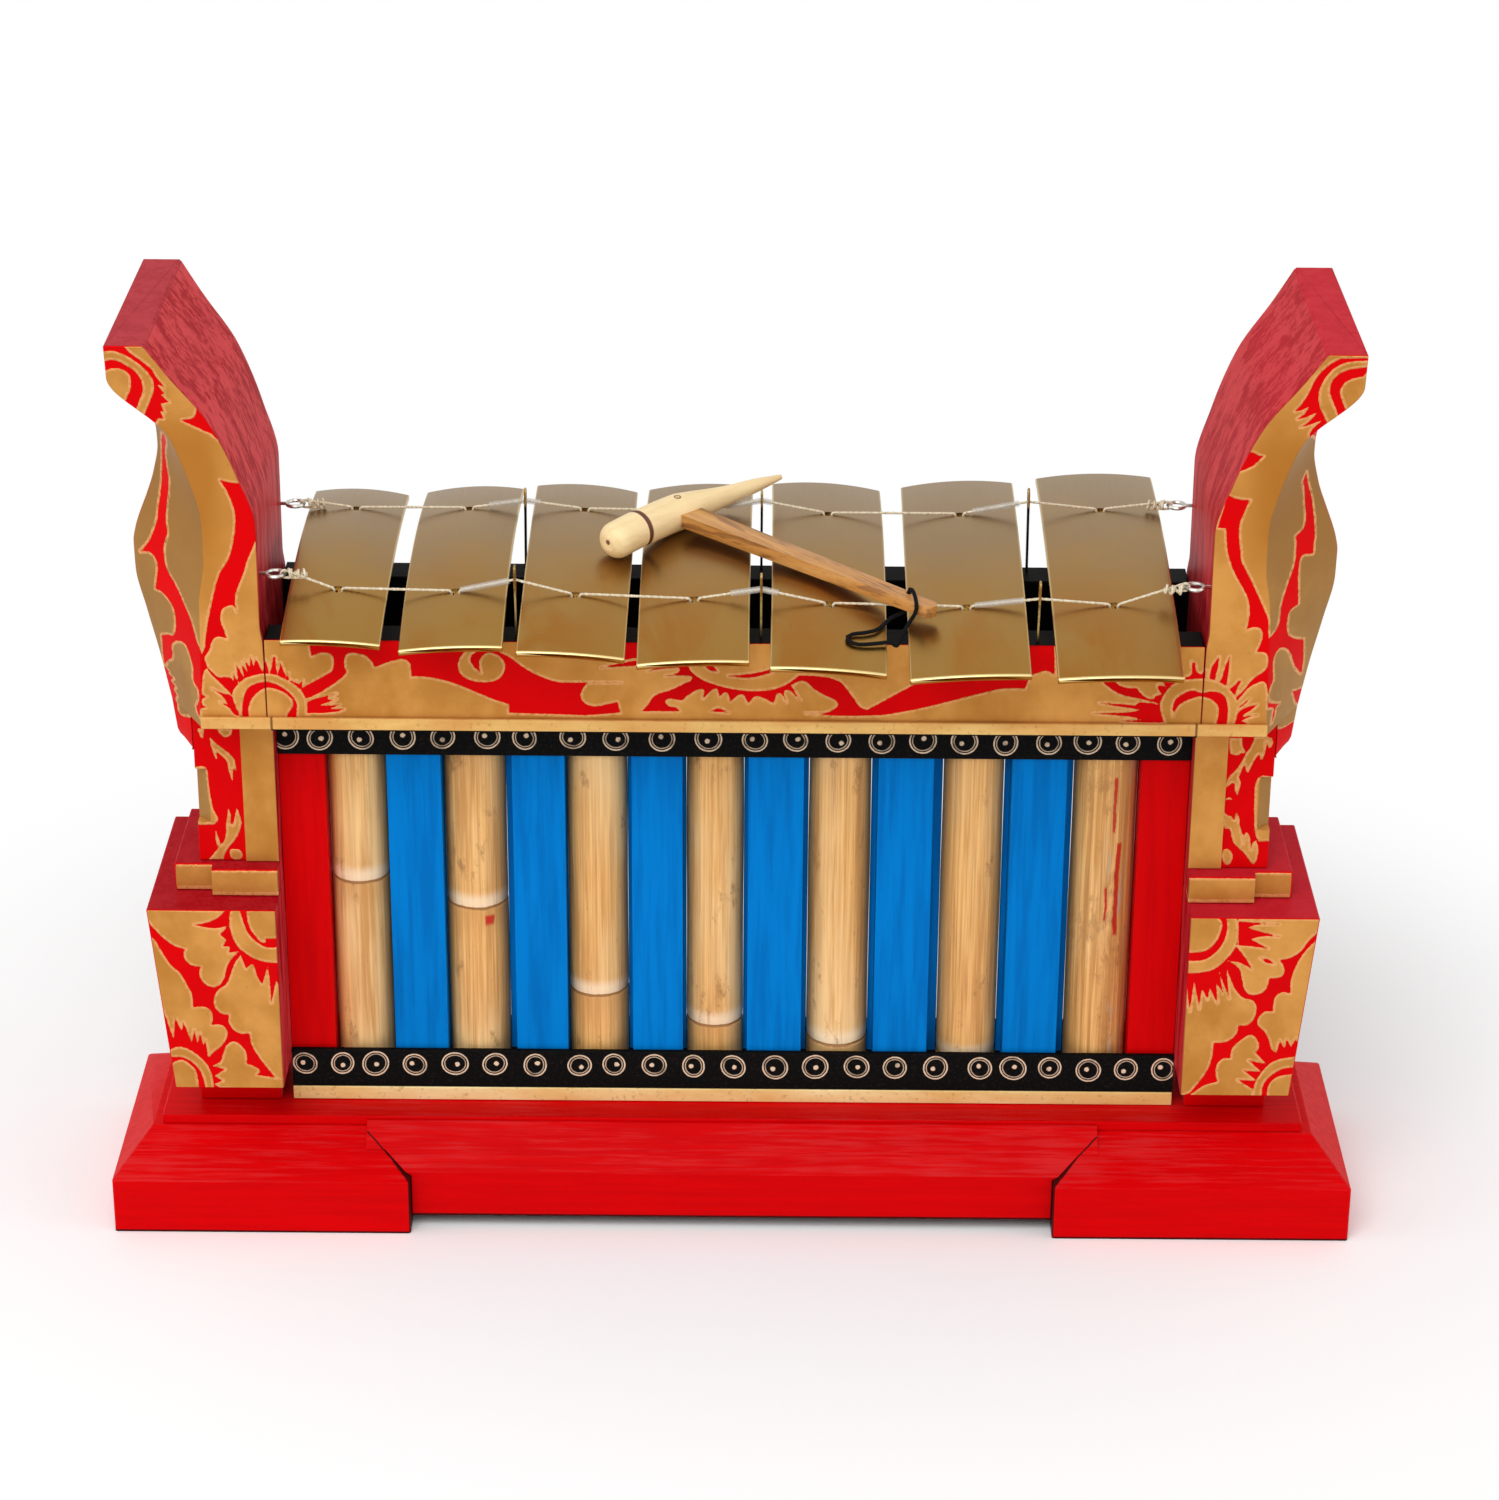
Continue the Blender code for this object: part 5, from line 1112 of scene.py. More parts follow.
def box_grid(low, high, step, cells, rim):
    """Points of an upright block with softened edges, and the edge of each of their columns."""
    levels = steps_between(low.z, high.z, step)
    corners = np.array([(low.x, low.y), (high.x, low.y), (high.x, high.y), (low.x, high.y)])
    stack = np.broadcast_to(corners, (len(levels), 4, 2))
    rings, edges = rounded_rings(stack, cells, 0.0004)
    return with_rims(rings, levels, rim), edges


def end_grid(side, corners, levels, cells, fillet, rim):
    """The same for a block at the case's end, from corners that are measured outwards from it."""
    corners = corners * (side, 1) + (side * CASE_END, 0)
    rings, edges = rounded_rings(corners, cells, fillet)
    return with_rims(rings, levels, rim), edges


def gilded(points, edges, faces, ground, ornament):
    """The gilding of a piece: its ornament on the columns of the faces that carry it; plain red
    elsewhere and on the caps' rims."""
    field = np.full(points.shape[:2], REACH)
    columns = np.isin(edges, faces)
    inner = points[2:-2][:, columns]
    part = gilding(inner.reshape(-1, 3), ground, ornament).reshape(inner.shape[:2])
    field[2:-2][:, columns] = part
    return field


def steps_between(low, high, size):
    """Even steps of about this size from low to high."""
    return np.linspace(low, high, max(2, int(round((high - low) / size)) + 1))


def stacked(ring):
    """Rows of corners (rows, corners, 2) from one ring, whose x and y may vary from row to row."""
    parts = np.broadcast_arrays(*(part for corner in ring for part in corner))
    return np.stack(parts, axis=1).reshape(-1, len(ring), 2)


def mirrored(half):
    """Rows of corners from their front half: the same corners with y turned round follow it,
    backwards."""
    return stacked(half + [(x, -y) for x, y in reversed(half)])


# ---- Ends: horn, column, step and lower block ----


def horn_corners(heights):
    """The horn's six corners at heights above the seat: inner face, ridge and wing edge, mirrored.
    Its depth flares by a power of the height, and the wing widens towards the tip."""
    flare = np.clip(heights - HORN_FLARE, 0, None) / (HORN_HEIGHT - HORN_FLARE)
    deep = CASE_FACE + 0.016 * flare**1.25
    tip = np.clip((heights - 0.146) / (0.189 - 0.146), 0, 1)
    wing_half = WING_HALF + (deep / 2 - WING_HALF) * tip
    curves = (HORN_INNER, HORN_RIDGE, HORN_WING)
    inner, ridge, wing = (smooth_value(curve, heights) for curve in curves)
    return mirrored([(inner, -deep), (ridge, -deep), (wing + 1e-5, -wing_half)])


def tail_corners(shares):
    """The wing's tail beside the column, at shares of its length below the seat: its lower end is
    rounded by a quarter circle."""
    wing = 0.053 - 0.0027 * shares
    past = np.clip(TAIL_ROUND - TAIL_LENGTH * (1 - shares), 0, None)
    wing = wing - (TAIL_ROUND - np.sqrt(TAIL_ROUND**2 - past**2))
    near, deep = COLUMN_LENGTH + FIT_GAP, COLUMN_DEPTH / 2
    bend = ((near + wing) / 2, -(deep + WING_HALF) / 2)
    return mirrored([(near, -deep), bend, (wing, -WING_HALF)])


def make_horn(side_name, side, finish):
    """A horned end post: a stack of six-cornered rings with rounded edges, the tail first."""
    heights = steps_between(0, HORN_HEIGHT, ORNAMENT_CELL)
    shares = np.array((1.0, 0.98, 0.94, 0.86, 0.75, 0.5, 0.25, 0.0))
    corners = np.concatenate([tail_corners(shares), horn_corners(heights)])
    levels = np.concatenate([-TAIL_LENGTH * shares, heights]) + SEAT
    points, edges = end_grid(side, corners, levels, (46, 44, 10, 44, 46, 12), 0.0007, 0.0007)
    field = gilded(points, edges, [0, 1, 3, 4], -REACH, CASE_ORNAMENT)
    field[:len(shares)] = REACH
    name = f"horn_{side_name}"
    settle_gilded(name, points, {"gilding": field}, finish, f"horn_post_{side_name}")


def make_column(side_name, side, finish):
    """A square column with a proud strip on the case's side, and a chamfer between two heights."""
    low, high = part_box(f"column_{side_name}")
    even = steps_between(low.z, high.z, ORNAMENT_CELL)
    levels = np.unique(np.concatenate([even, low.z + np.array(CHAMFER_LEVELS)]))
    above = levels - low.z
    cut = np.where((above > CHAMFER[0]) & (above < CHAMFER[1]), 0.007, 0.0004)
    deep = COLUMN_DEPTH / 2
    proud = deep + 0.0015
    half = [(0, -proud), (COLUMN_STRIP, -proud), (COLUMN_STRIP, -deep),
            (COLUMN_LENGTH - cut, -deep), (COLUMN_LENGTH, cut - deep)]
    cells = (20, 2, 22, 9, 8, 9, 22, 2, 20, 6)
    points, edges = end_grid(side, mirrored(half), levels, cells, 0.0008, 0.0006)
    field = gilded(points, edges, [1, 2, 3, 5, 6, 7], REACH, COLUMN_ORNAMENT)
    field[2:-2][:, np.isin(edges, [0, 8])] = -REACH
    name = f"column_piece_{side_name}"
    settle_gilded(name, points, {"gilding": field}, finish, f"column_{side_name}")


def make_step(side_name, side, finish):
    """The stepped block between column and lower block, gold round its front edges: a ring across
    the case carried outwards, drawn in where the block steps back."""
    low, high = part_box(f"step_block_{side_name}")
    runs = np.concatenate([steps_between(*ends, 0.001) for ends in STEP_RUNS])
    deep = np.where(runs < STEP_RUNS[1][0], *STEP_DEPTHS)
    ring = [(-deep, low.z), (deep, low.z), (deep, high.z), (-deep, high.z)]
    rings, edges = rounded_rings(stacked(ring), (70, 18, 70, 18), 0.001)
    y, z, out = np.moveaxis(with_rims(rings, runs, 0.0009), 2, 0)
    points = np.stack([side * (CASE_END + out), y, z], axis=-1)
    height = z - low.z
    dots = 0.9 - np.hypot((points[..., 0] / MM + 0.9) % 1.8 - 0.9, height / MM - 1.6)
    gold = np.maximum((z - (high.z - 0.0009)) / MM - 0.2, -REACH)
    gold = np.where(height < 0.0030, np.maximum(gold, -0.95 + dots * 0.5), gold)
    field = np.full(points.shape[:2], REACH)
    front = np.isin(edges, [1, 3])
    field[:-3, front] = gold[:-3, front]
    name = f"step_{side_name}"
    settle_gilded(name, points, {"gilding": field}, finish, f"step_block_{side_name}")


def make_lower_block(side_name, side, finish):
    """The wide block, flaring upwards, on its narrow pedestal."""
    low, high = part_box(f"lower_block_{side_name}")
    join = low.z + PEDESTAL_HEIGHT
    foot = steps_between(low.z, join, 0.004)
    body = steps_between(join, high.z, ORNAMENT_CELL)
    near, far = BLOCK_REACH
    out = near + (far - near) * (body - join) / (high.z - join)
    pedestal = mirrored([(0.006 + 0 * foot, -0.021), (0.049, -0.021)])
    corners = np.concatenate([pedestal, mirrored([(0, -BLOCK_DEEP), (out, -BLOCK_DEEP)])])
    levels = np.concatenate([foot, body])
    points, edges = end_grid(side, corners, levels, (76, 16, 76, 10), 0.0012, 0.0009)
    field = gilded(points, edges, [0, 2], REACH, BLOCK_ORNAMENT)
    name = f"lower_block_piece_{side_name}"
    settle_gilded(name, points, {"gilding": field}, finish, f"lower_block_{side_name}")


# ---- Case and grille ----


def make_rail(face_name, face, finish):
    """A case rail: gold relief outside, black on the inside."""
    low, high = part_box(f"{face_name}_rail")
    points, edges = box_grid(low, high, 0.0008, (570, 5, 570, 5), 0.0007)
    field = gilded(points, edges, [0 if face < 0 else 2], -REACH, CASE_ORNAMENT)
    depth = (points[..., 1] - (low.y + high.y) / 2) * face
    black = (depth < (high.y - low.y) / 2 - 0.0004).astype(float)
    fields = {"gilding": field, "black": black}
    settle_gilded(f"{face_name}_rail_piece", points, fields, finish, f"{face_name}_rail")


def make_band(name, centres, middle, finish, seed):
    """A black band, with the distances from its painted rings and their dots as attributes."""
    low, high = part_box(name)
    points, _ = box_grid(low, high, 0.0007, (680, 2, 680, 2), 0.0005)
    random = np.random.default_rng(seed)
    centres = np.array(centres)
    x, z = points[..., 0] / MM, (points[..., 2] - middle) / MM
    nearest = np.abs(x[..., None] - centres).argmin(-1)

    def varied(spread):
        return random.uniform(-spread, spread, len(centres))[nearest]

    across, up = x - centres[nearest], z - varied(0.5)
    turn = np.arctan2(up, across)
    wobble = varied(0.5) + varied(0.5) * np.cos(turn + varied(3.1))
    wobble = wobble + varied(0.35) * np.cos(2 * turn + varied(3.1))
    ring = np.hypot(across, up * 0.97) + wobble
    dot = np.hypot(across - varied(1.6), up - varied(1.4))
    face = low.y if low.y < 0 and "front" in name else high.y
    hidden = np.abs(points[..., 1] - face) > 0.0012
    fields = {"ring": np.where(hidden, 20.0, ring), "dot": np.where(hidden, 20.0, dot)}
    settle(make_piece(f"{name}_piece", points, fields), finish, "root", "black_paint", name)


def make_tube(index, finish):
    """A bamboo tube turned about its axis: outer wall with the node's ridge and groove, rounded
    rims, bore above and below the node's diaphragm."""
    x, radius, node = TUBES[index - 1]
    low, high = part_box(f"resonator_tube_{index}")
    top, bottom, bore, rim = high.z, low.z, radius - TUBE_WALL, TUBE_RIM
    even = steps_between(bottom + rim, top - rim, 0.002)
    levels = np.unique(np.concatenate([even, node + np.linspace(-0.004, 0.006, 41)]))
    levels = levels[(levels >= bottom + rim) & (levels <= top - rim)]
    levels = levels[np.diff(levels, prepend=0.0) > 1e-5]
    above = (levels - node) / MM
    groove = 0.0006 * np.exp(-((above / 0.7) ** 2))
    groove = groove + 0.00015 * np.exp(-(((above - 1.8) / 1.2) ** 2))
    sway = 0.0002 * (1 - np.cos((levels - bottom) * 55.0 + index)) / 2
    wall = radius + TUBE_FULLNESS - groove - sway
    turns = np.linspace(0, math.pi / 2, 4)[1:-1]
    foot, lip = wall[0] - rim, wall[-1] - rim
    under = [(foot + rim * math.cos(a), bottom + rim - rim * math.sin(a)) for a in turns[::-1]]
    over = [(lip + rim * math.cos(a), top - rim + rim * math.sin(a)) for a in turns]
    profile = [
        (0.0008, node - 0.0015), (bore - 0.0005, node - 0.0015), (bore, node - 0.0020),
        (bore, bottom + 0.0004), (bore + 0.0004, bottom), (foot, bottom), *under,
        *zip(wall, levels), *over, (lip, top), (bore + 0.0004, top), (bore, top - 0.0004),
        (bore, node + 0.0020), (bore - 0.0005, node + 0.0015), (0.0008, node + 0.0015),
    ]
    r, z = np.array(profile).T[:, :, None]
    turn = np.linspace(0, 2 * math.pi, 64, endpoint=False)[None]
    oval = r * (1 - 0.010 * (1 + np.cos(2 * turn + index)) / 2)
    y = (low.y + high.y) / 2 + oval * np.sin(turn)
    points = np.stack(np.broadcast_arrays(x + oval * np.cos(turn), y, z), axis=-1)
    piece = make_piece(f"tube_{index}", points, {"above_node": (points[..., 2] - node) / MM})
    settle(piece, finish, "root", "bamboo", f"resonator_tube_{index}")


# ---- Keys and strings ----


Key = namedtuple("Key", "name x width length frame")


def plan_keys():
    """Each key with its name, size and frame, whose origin is the crown of its arch."""
    widths = [KEY_WIDTH + 0.002 * index for index in range(KEY_COUNT)]
    left = KEYS_MIDDLE - (sum(widths) + sum(KEY_GAPS)) / 2
    keys = []
    for index, width in enumerate(widths):
        x = left + width / 2
        left += width + sum(KEY_GAPS[index:index + 1])
        pitch = KEY_PITCH + KEY_PITCH_GAIN * index / (KEY_COUNT - 1)
        place = Matrix.Translation((x, -0.001, RAIL_TOP + KEY_CROWNS[index]))
        for degrees, axis in ((KEY_TURN, "Z"), (pitch, "X"), (KEY_ROLLS[index], "Y")):
            place = place @ Matrix.Rotation(math.radians(degrees), 4, axis)
        keys.append(Key(f"key_{index + 1}", x, width, KEY_LENGTH + 0.008 * index, place))
    return keys


def string_y(face_name, x):
    """Where a string runs, in plan."""
    start, slope = STRING_LINES[face_name]
    return start + slope * x


def key_rise(key, across, along):
    """Height of the arched top over its crown: a parabola each way."""
    lengthwise = KEY_LONG_ARCH * (2 * along / key.length) ** 2
    return -lengthwise - KEY_CROSS_ARCH * (2 * across / key.width) ** 2


def hole_frame(key, face_name):
    """A frame on the key's top at a string hole: X across the key, Z out of the metal."""
    along = 0.0
    for _ in range(3):
        place = key.frame @ Vector((0, along, key_rise(key, 0, along)))
        along += string_y(face_name, place.x) - place.y
    slope = -8 * KEY_LONG_ARCH * along / key.length**2
    seat = Matrix.Translation((0, along, key_rise(key, 0, along)))
    return key.frame @ seat @ Matrix.Rotation(math.atan(slope), 4, "X")


def placed(matrix, points):
    """Points moved by a frame."""
    whole = np.array(matrix)
    return points @ whole[:3, :3].T + whole[:3, 3]


def make_key(key, finish):
    """An arched brass plate: a rounded rectangle carried along the key, bent by the arch in both
    directions, its ends bulged, with two holes cut and a peg under each."""
    half = key.width / 2
    section = np.array([(-half, 0), (half, 0), (half, -KEY_THICKNESS), (-half, -KEY_THICKNESS)])
    levels = steps_between(-key.length / 2, key.length / 2, 0.0015)
    stack = np.broadcast_to(section, (len(levels), 4, 2))
    rings, _ = rounded_rings(stack, (34, 2, 34, 2), 0.0006)
    across, height, along = np.moveaxis(with_rims(rings, levels, 0.0006), 2, 0)
    bulge = 0.0015 * (1 - (2 * across / key.width) ** 2)
    run = along * (1 + 2 * bulge / key.length)
    local = np.stack([across, run, height + key_rise(key, across, along)], axis=-1)
    chart = np.stack([across / key.width + 0.5, along / key.length + 0.5], axis=-1)
    plate = make_piece(f"{key.name}_plate", placed(key.frame, local), chart=chart)
    for face_name in FACES:
        cut_hole(plate, hole_frame(key, face_name))
    shape = bmesh.new()
    shape.from_mesh(plate.data)
    bmesh.ops.dissolve_degenerate(shape, dist=SLIVER, edges=shape.edges)
    bmesh.ops.remove_doubles(shape, verts=shape.verts, dist=SLIVER)
    shape.to_mesh(plate.data)
    shape.free()
    plate.data.set_sharp_from_angle(angle=SHARP)
    settle(plate, finish, key.name, "bronze", key.name)
    for face_name in FACES:
        ends = np.array([(0, -0.006, PEG_LEVEL), (0, 0.006, PEG_LEVEL)])
        ends = placed(hole_frame(key, face_name), ends)
        route = ends[0] + (ends[1] - ends[0]) * np.linspace(0, 1, 13)[:, None]
        radii = PEG_RADIUS * (1 - 0.35 * np.abs(np.linspace(-1, 1, 13)) ** 12)
        peg = make_piece(f"{key.name}_{face_name}_peg", sweep(route, radii, 12, (0, 0, 1)))
        settle(peg, finish, key.name, "bronze")


def cut_hole(plate, hole):
    """Cuts a round hole at a frame through a plate's mesh."""
    turns = np.linspace(0, 2 * math.pi, 40, endpoint=False)
    circle = np.stack([np.cos(turns), np.sin(turns)], axis=1) * HOLE_RADIUS
    depth = 3 * KEY_THICKNESS
    rod = np.stack([np.insert(circle, 2, height, axis=1) for height in (-depth, depth)])
    cutter = make_piece("cutter", placed(hole, rod), chart=np.full((2, 40, 2), 0.5))
    cut = plate.modifiers.new("hole", "BOOLEAN")
    cut.operation, cut.solver, cut.object = "DIFFERENCE", "EXACT", cutter
    seen = plate.evaluated_get(bpy.context.evaluated_depsgraph_get())
    mesh = bpy.data.meshes.new_from_object(seen)
    plate.modifiers.clear()
    plate.data = mesh
    bpy.data.objects.remove(cutter, do_unlink=True)


def sweep(route, radii, sides, up, twist=None):
    """A tube along a route: at each point a circle square to the route, turned so that one of its
    axes keeps square to the given direction; a twist pitch lays two strands round it."""
    route = np.asarray(route, float)
    ahead = np.gradient(route, axis=0)
    ahead /= np.linalg.norm(ahead, axis=1, keepdims=True)
    side = np.cross(ahead, up)
    side /= np.linalg.norm(side, axis=1, keepdims=True)
    top = np.cross(side, ahead)
    turn = np.linspace(0, 2 * math.pi, sides, endpoint=False)[None]
    radius = np.broadcast_to(radii, len(route))[:, None]
    if twist:
        run = run_along(route)[:, None]
        radius = radius * (0.92 + 0.08 * np.cos(2 * turn - 2 * math.pi * run / twist))
    cosine, sine = np.cos(turn)[..., None], np.sin(turn)[..., None]
    return route[:, None] + radius[..., None] * (cosine * side[:, None] + sine * top[:, None])


def post_places(keys):
    """The middles of the gaps between the keys."""
    pairs = zip(keys, keys[1:])
    return [(a.x + a.width / 2 + b.x - b.width / 2) / 2 for a, b in pairs]


def eye_place(face_name, side_name):
    """The middle of a screw eye's ring."""
    x = SIDES[side_name] * (CASE_END - 0.0065)
    y = string_y(face_name, x)
    if face_name == "front":
        y = max(y, 0.0045 - CASE_FACE)
    return np.array((x, y, RAIL_TOP + EYE_HEIGHTS[face_name, side_name]))


def end_hook(face_name, side_name):
    """The string's end: over the ring's near wire, down through the ring and back, a tail."""
    side = SIDES[side_name]
    wire_at = eye_place(face_name, side_name) - (side * EYE_RING_RADIUS, 0, 0)
    turn = EYE_WIRE_RADIUS + STRING_GAP + STRING_RADIUS
    angles = np.radians((90, 35, -35, -90))
    bend = wire_at + turn * np.stack([side * np.cos(angles), 0 * angles, np.sin(angles)], axis=1)
    return np.vstack([bend, wire_at + (-side * 0.011, 0, -turn)])


def crossing(key, face_name):
    """The string at a key: over the hole's edge, down, round the peg and up again."""
    turn = PEG_RADIUS + STRING_GAP + STRING_RADIUS
    over = STRING_RADIUS + STRING_GAP
    slant = over / math.sqrt(2)
    down = [(-HOLE_RADIUS, 0, over), (slant - HOLE_RADIUS, 0, slant),
            (-turn, 0, 0), (-turn, 0, PEG_LEVEL)]
    bend = [math.radians(angle) for angle in (225, 270, 315)]
    under = [(turn * math.cos(a), 0, PEG_LEVEL + turn * math.sin(a)) for a in bend]
    points = np.array(down + under + [(-x, y, z) for x, y, z in reversed(down)])
    return placed(hole_frame(key, face_name), points)


def softened(route):
    """A route at even steps, each point of it the mean of five neighbours, its ends kept."""
    run = run_along(route)
    s = np.linspace(0, run[-1], max(12, int(run[-1] / STRING_STEP)))
    line = [np.interp(s, run, route[:, axis]) for axis in range(3)]
    means = [np.convolve(np.pad(part, 2, "edge"), np.ones(5) / 5, "valid") for part in line]
    line, means = np.stack(line, axis=1), np.stack(means, axis=1)
    means[[0, -1]] = line[[0, -1]]
    return means


def string_joints(face_name, keys, spans):
    """Where the string's lengths meet between two keys: on a post, or on the straight line."""
    heights = dict(zip(POST_AFTER_KEYS, STRING_HEIGHTS[face_name]))
    joints = []
    for count, x in enumerate(post_places(keys), start=1):
        before, after = spans[count - 1][-1], spans[count][0]
        joint = before + (after - before) * (x - before[0]) / (after[0] - before[0])
        if count in heights:
            joint = np.array((x, string_y(face_name, x), RAIL_TOP + heights[count]))
        joints.append(joint[None])
    return joints


def make_strings(face_name, keys, finish):
    """One string in two lengths per key, which meet under the key's peg. The twisted strands run
    in the tube's own surface. Returns the whole string's middle line."""
    spans = [crossing(key, face_name) for key in keys]
    joints = string_joints(face_name, keys, spans)
    starts = [end_hook(face_name, "left")[::-1], *joints]
    ends = [*joints, end_hook(face_name, "right")]
    replaced = [f"{face_name}_string"]
    whole = []
    for key, start, span, end in zip(keys, starts, spans, ends):
        middle = len(span) // 2
        left = np.vstack([start, span[:middle + 1]]), span[0], start[-1]
        right = np.vstack([span[middle:], end]), span[-1], end[0]
        for side_name, (route, hole, rest) in (("left", left), ("right", right)):
            line = softened(route)
            whole.append(line if side_name == "left" else line[1:])
            tube = sweep(line, STRING_RADIUS, 10, (0, 1, 0), 0.0032)
            piece = make_piece(f"{face_name}_string_{key.name[-1]}_{side_name}", tube)
            dress(piece, finish)
            if replaced:
                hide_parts(*replaced)
                replaced = []
            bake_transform(piece)
    return np.vstack(whole)


def make_sleeves(face_name, line, finish):
    """The clear sleeves round a string's middle line at its posts."""
    for count, (low, high) in enumerate(SLEEVES[face_name], start=1):
        inside = smooth_route(line[(line[:, 0] > low) & (line[:, 0] < high)][::6], 40)
        wall, bore = (sweep(inside, radius, 20, (0, 1, 0)) for radius in SLEEVE_RADII)
        tube = np.concatenate([wall, bore[::-1]])
        piece = make_piece(f"{face_name}_sleeve_{count}", tube, wrap_rows=True)
        settle(piece, finish, "root", "string")


def make_knot(face_name, side_name, finish):
    """The string's whipped end: turns laid round the string beside the screw eye."""
    side = SIDES[side_name]
    near = eye_place(face_name, side_name) - (side * EYE_RING_RADIUS, 0, 0)
    t = np.linspace(0, 1, 260)
    turns = 2 * math.pi * 5 * t
    wide = 0.0017 + 0.0004 * np.cos(7 * t) + 0.0003 * np.sin(11 * t)
    x = near[0] - side * (0.0015 + 0.0092 * t + 0.0006 * np.sin(turns * 0.5))
    y = string_y(face_name, x) + 0.0003 * np.sin(9 * t) + wide * np.cos(turns)
    z = near[2] + 0.0002 + wide * np.sin(turns)
    tube = sweep(np.stack([x, y, z], axis=1), 0.00065, 10, (1, 0.01, 0), 0.003)
    settle(make_piece(f"{face_name}_knot_{side_name}", tube), finish, "root", "string")


# ---- Mallet ----


def make_mallet_head(finish):
    """The turned head: a circle carried along its curved middle line, with a domed blunt end, a
    stained groove and a long taper."""
    route = smooth_route(HEAD_ROUTE, 420) + (0, 0, RAIL_TOP)
    run = run_along(route)
    dome = np.clip(1 - run / 0.0075, 0, 1)
    radii = HEAD_RADIUS * np.sqrt(1 - 0.86 * dome**2.2)
    radii -= 0.0006 * np.clip(1 - np.abs(run - GROOVE_AT) / 0.0012, 0, 1)
    taper = smooth_value(HEAD_TAPER[:-1] + ((run[-1], HEAD_TAPER[-1][1]),), run)
    radii = np.where(run > HEAD_TAPER[0][0], taper, radii)
    radii = radii * (1 - 0.55 * np.clip((run - run[-1] + 0.02) / 0.02, 0, 1) ** 1.5)
    points = sweep(route, radii - 0.00005, 72, (0, 0, 1))
    along = np.broadcast_to(run[:, None] / MM, points.shape[:2])
    piece = make_piece("mallet_head_piece", points, {"along": along})
    settle(piece, finish, "mallet", "pale_wood", "mallet_head")


def soften(name, finish, body, slot):
    """A merged, smooth-shaded copy of a curved solid."""
    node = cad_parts[name]
    shape = bmesh.new()
    shape.from_mesh(node.data)
    shape.transform(node.matrix_world)
    verts, edges = shape.verts, shape.edges
    bmesh.ops.remove_doubles(shape, verts=verts, dist=1e-6)
    bmesh.ops.dissolve_limit(shape, angle_limit=math.radians(0.5), verts=verts, edges=edges)
    mesh = bpy.data.meshes.new(f"{name}_piece")
    shape.to_mesh(mesh)
    shape.free()
    mesh.shade_smooth()
    mesh.set_sharp_from_angle(angle=math.radians(38))
    piece = link(bpy.data.objects.new(f"{name}_piece", mesh))
    settle(piece, finish, body, slot, name)


# ---- The add-on's properties, operators and panel ----


def colour_of(name, description, default):
    return bpy.props.FloatVectorProperty(
        name=name, description=description, subtype="COLOR", min=0.0, max=1.0, default=default
    )


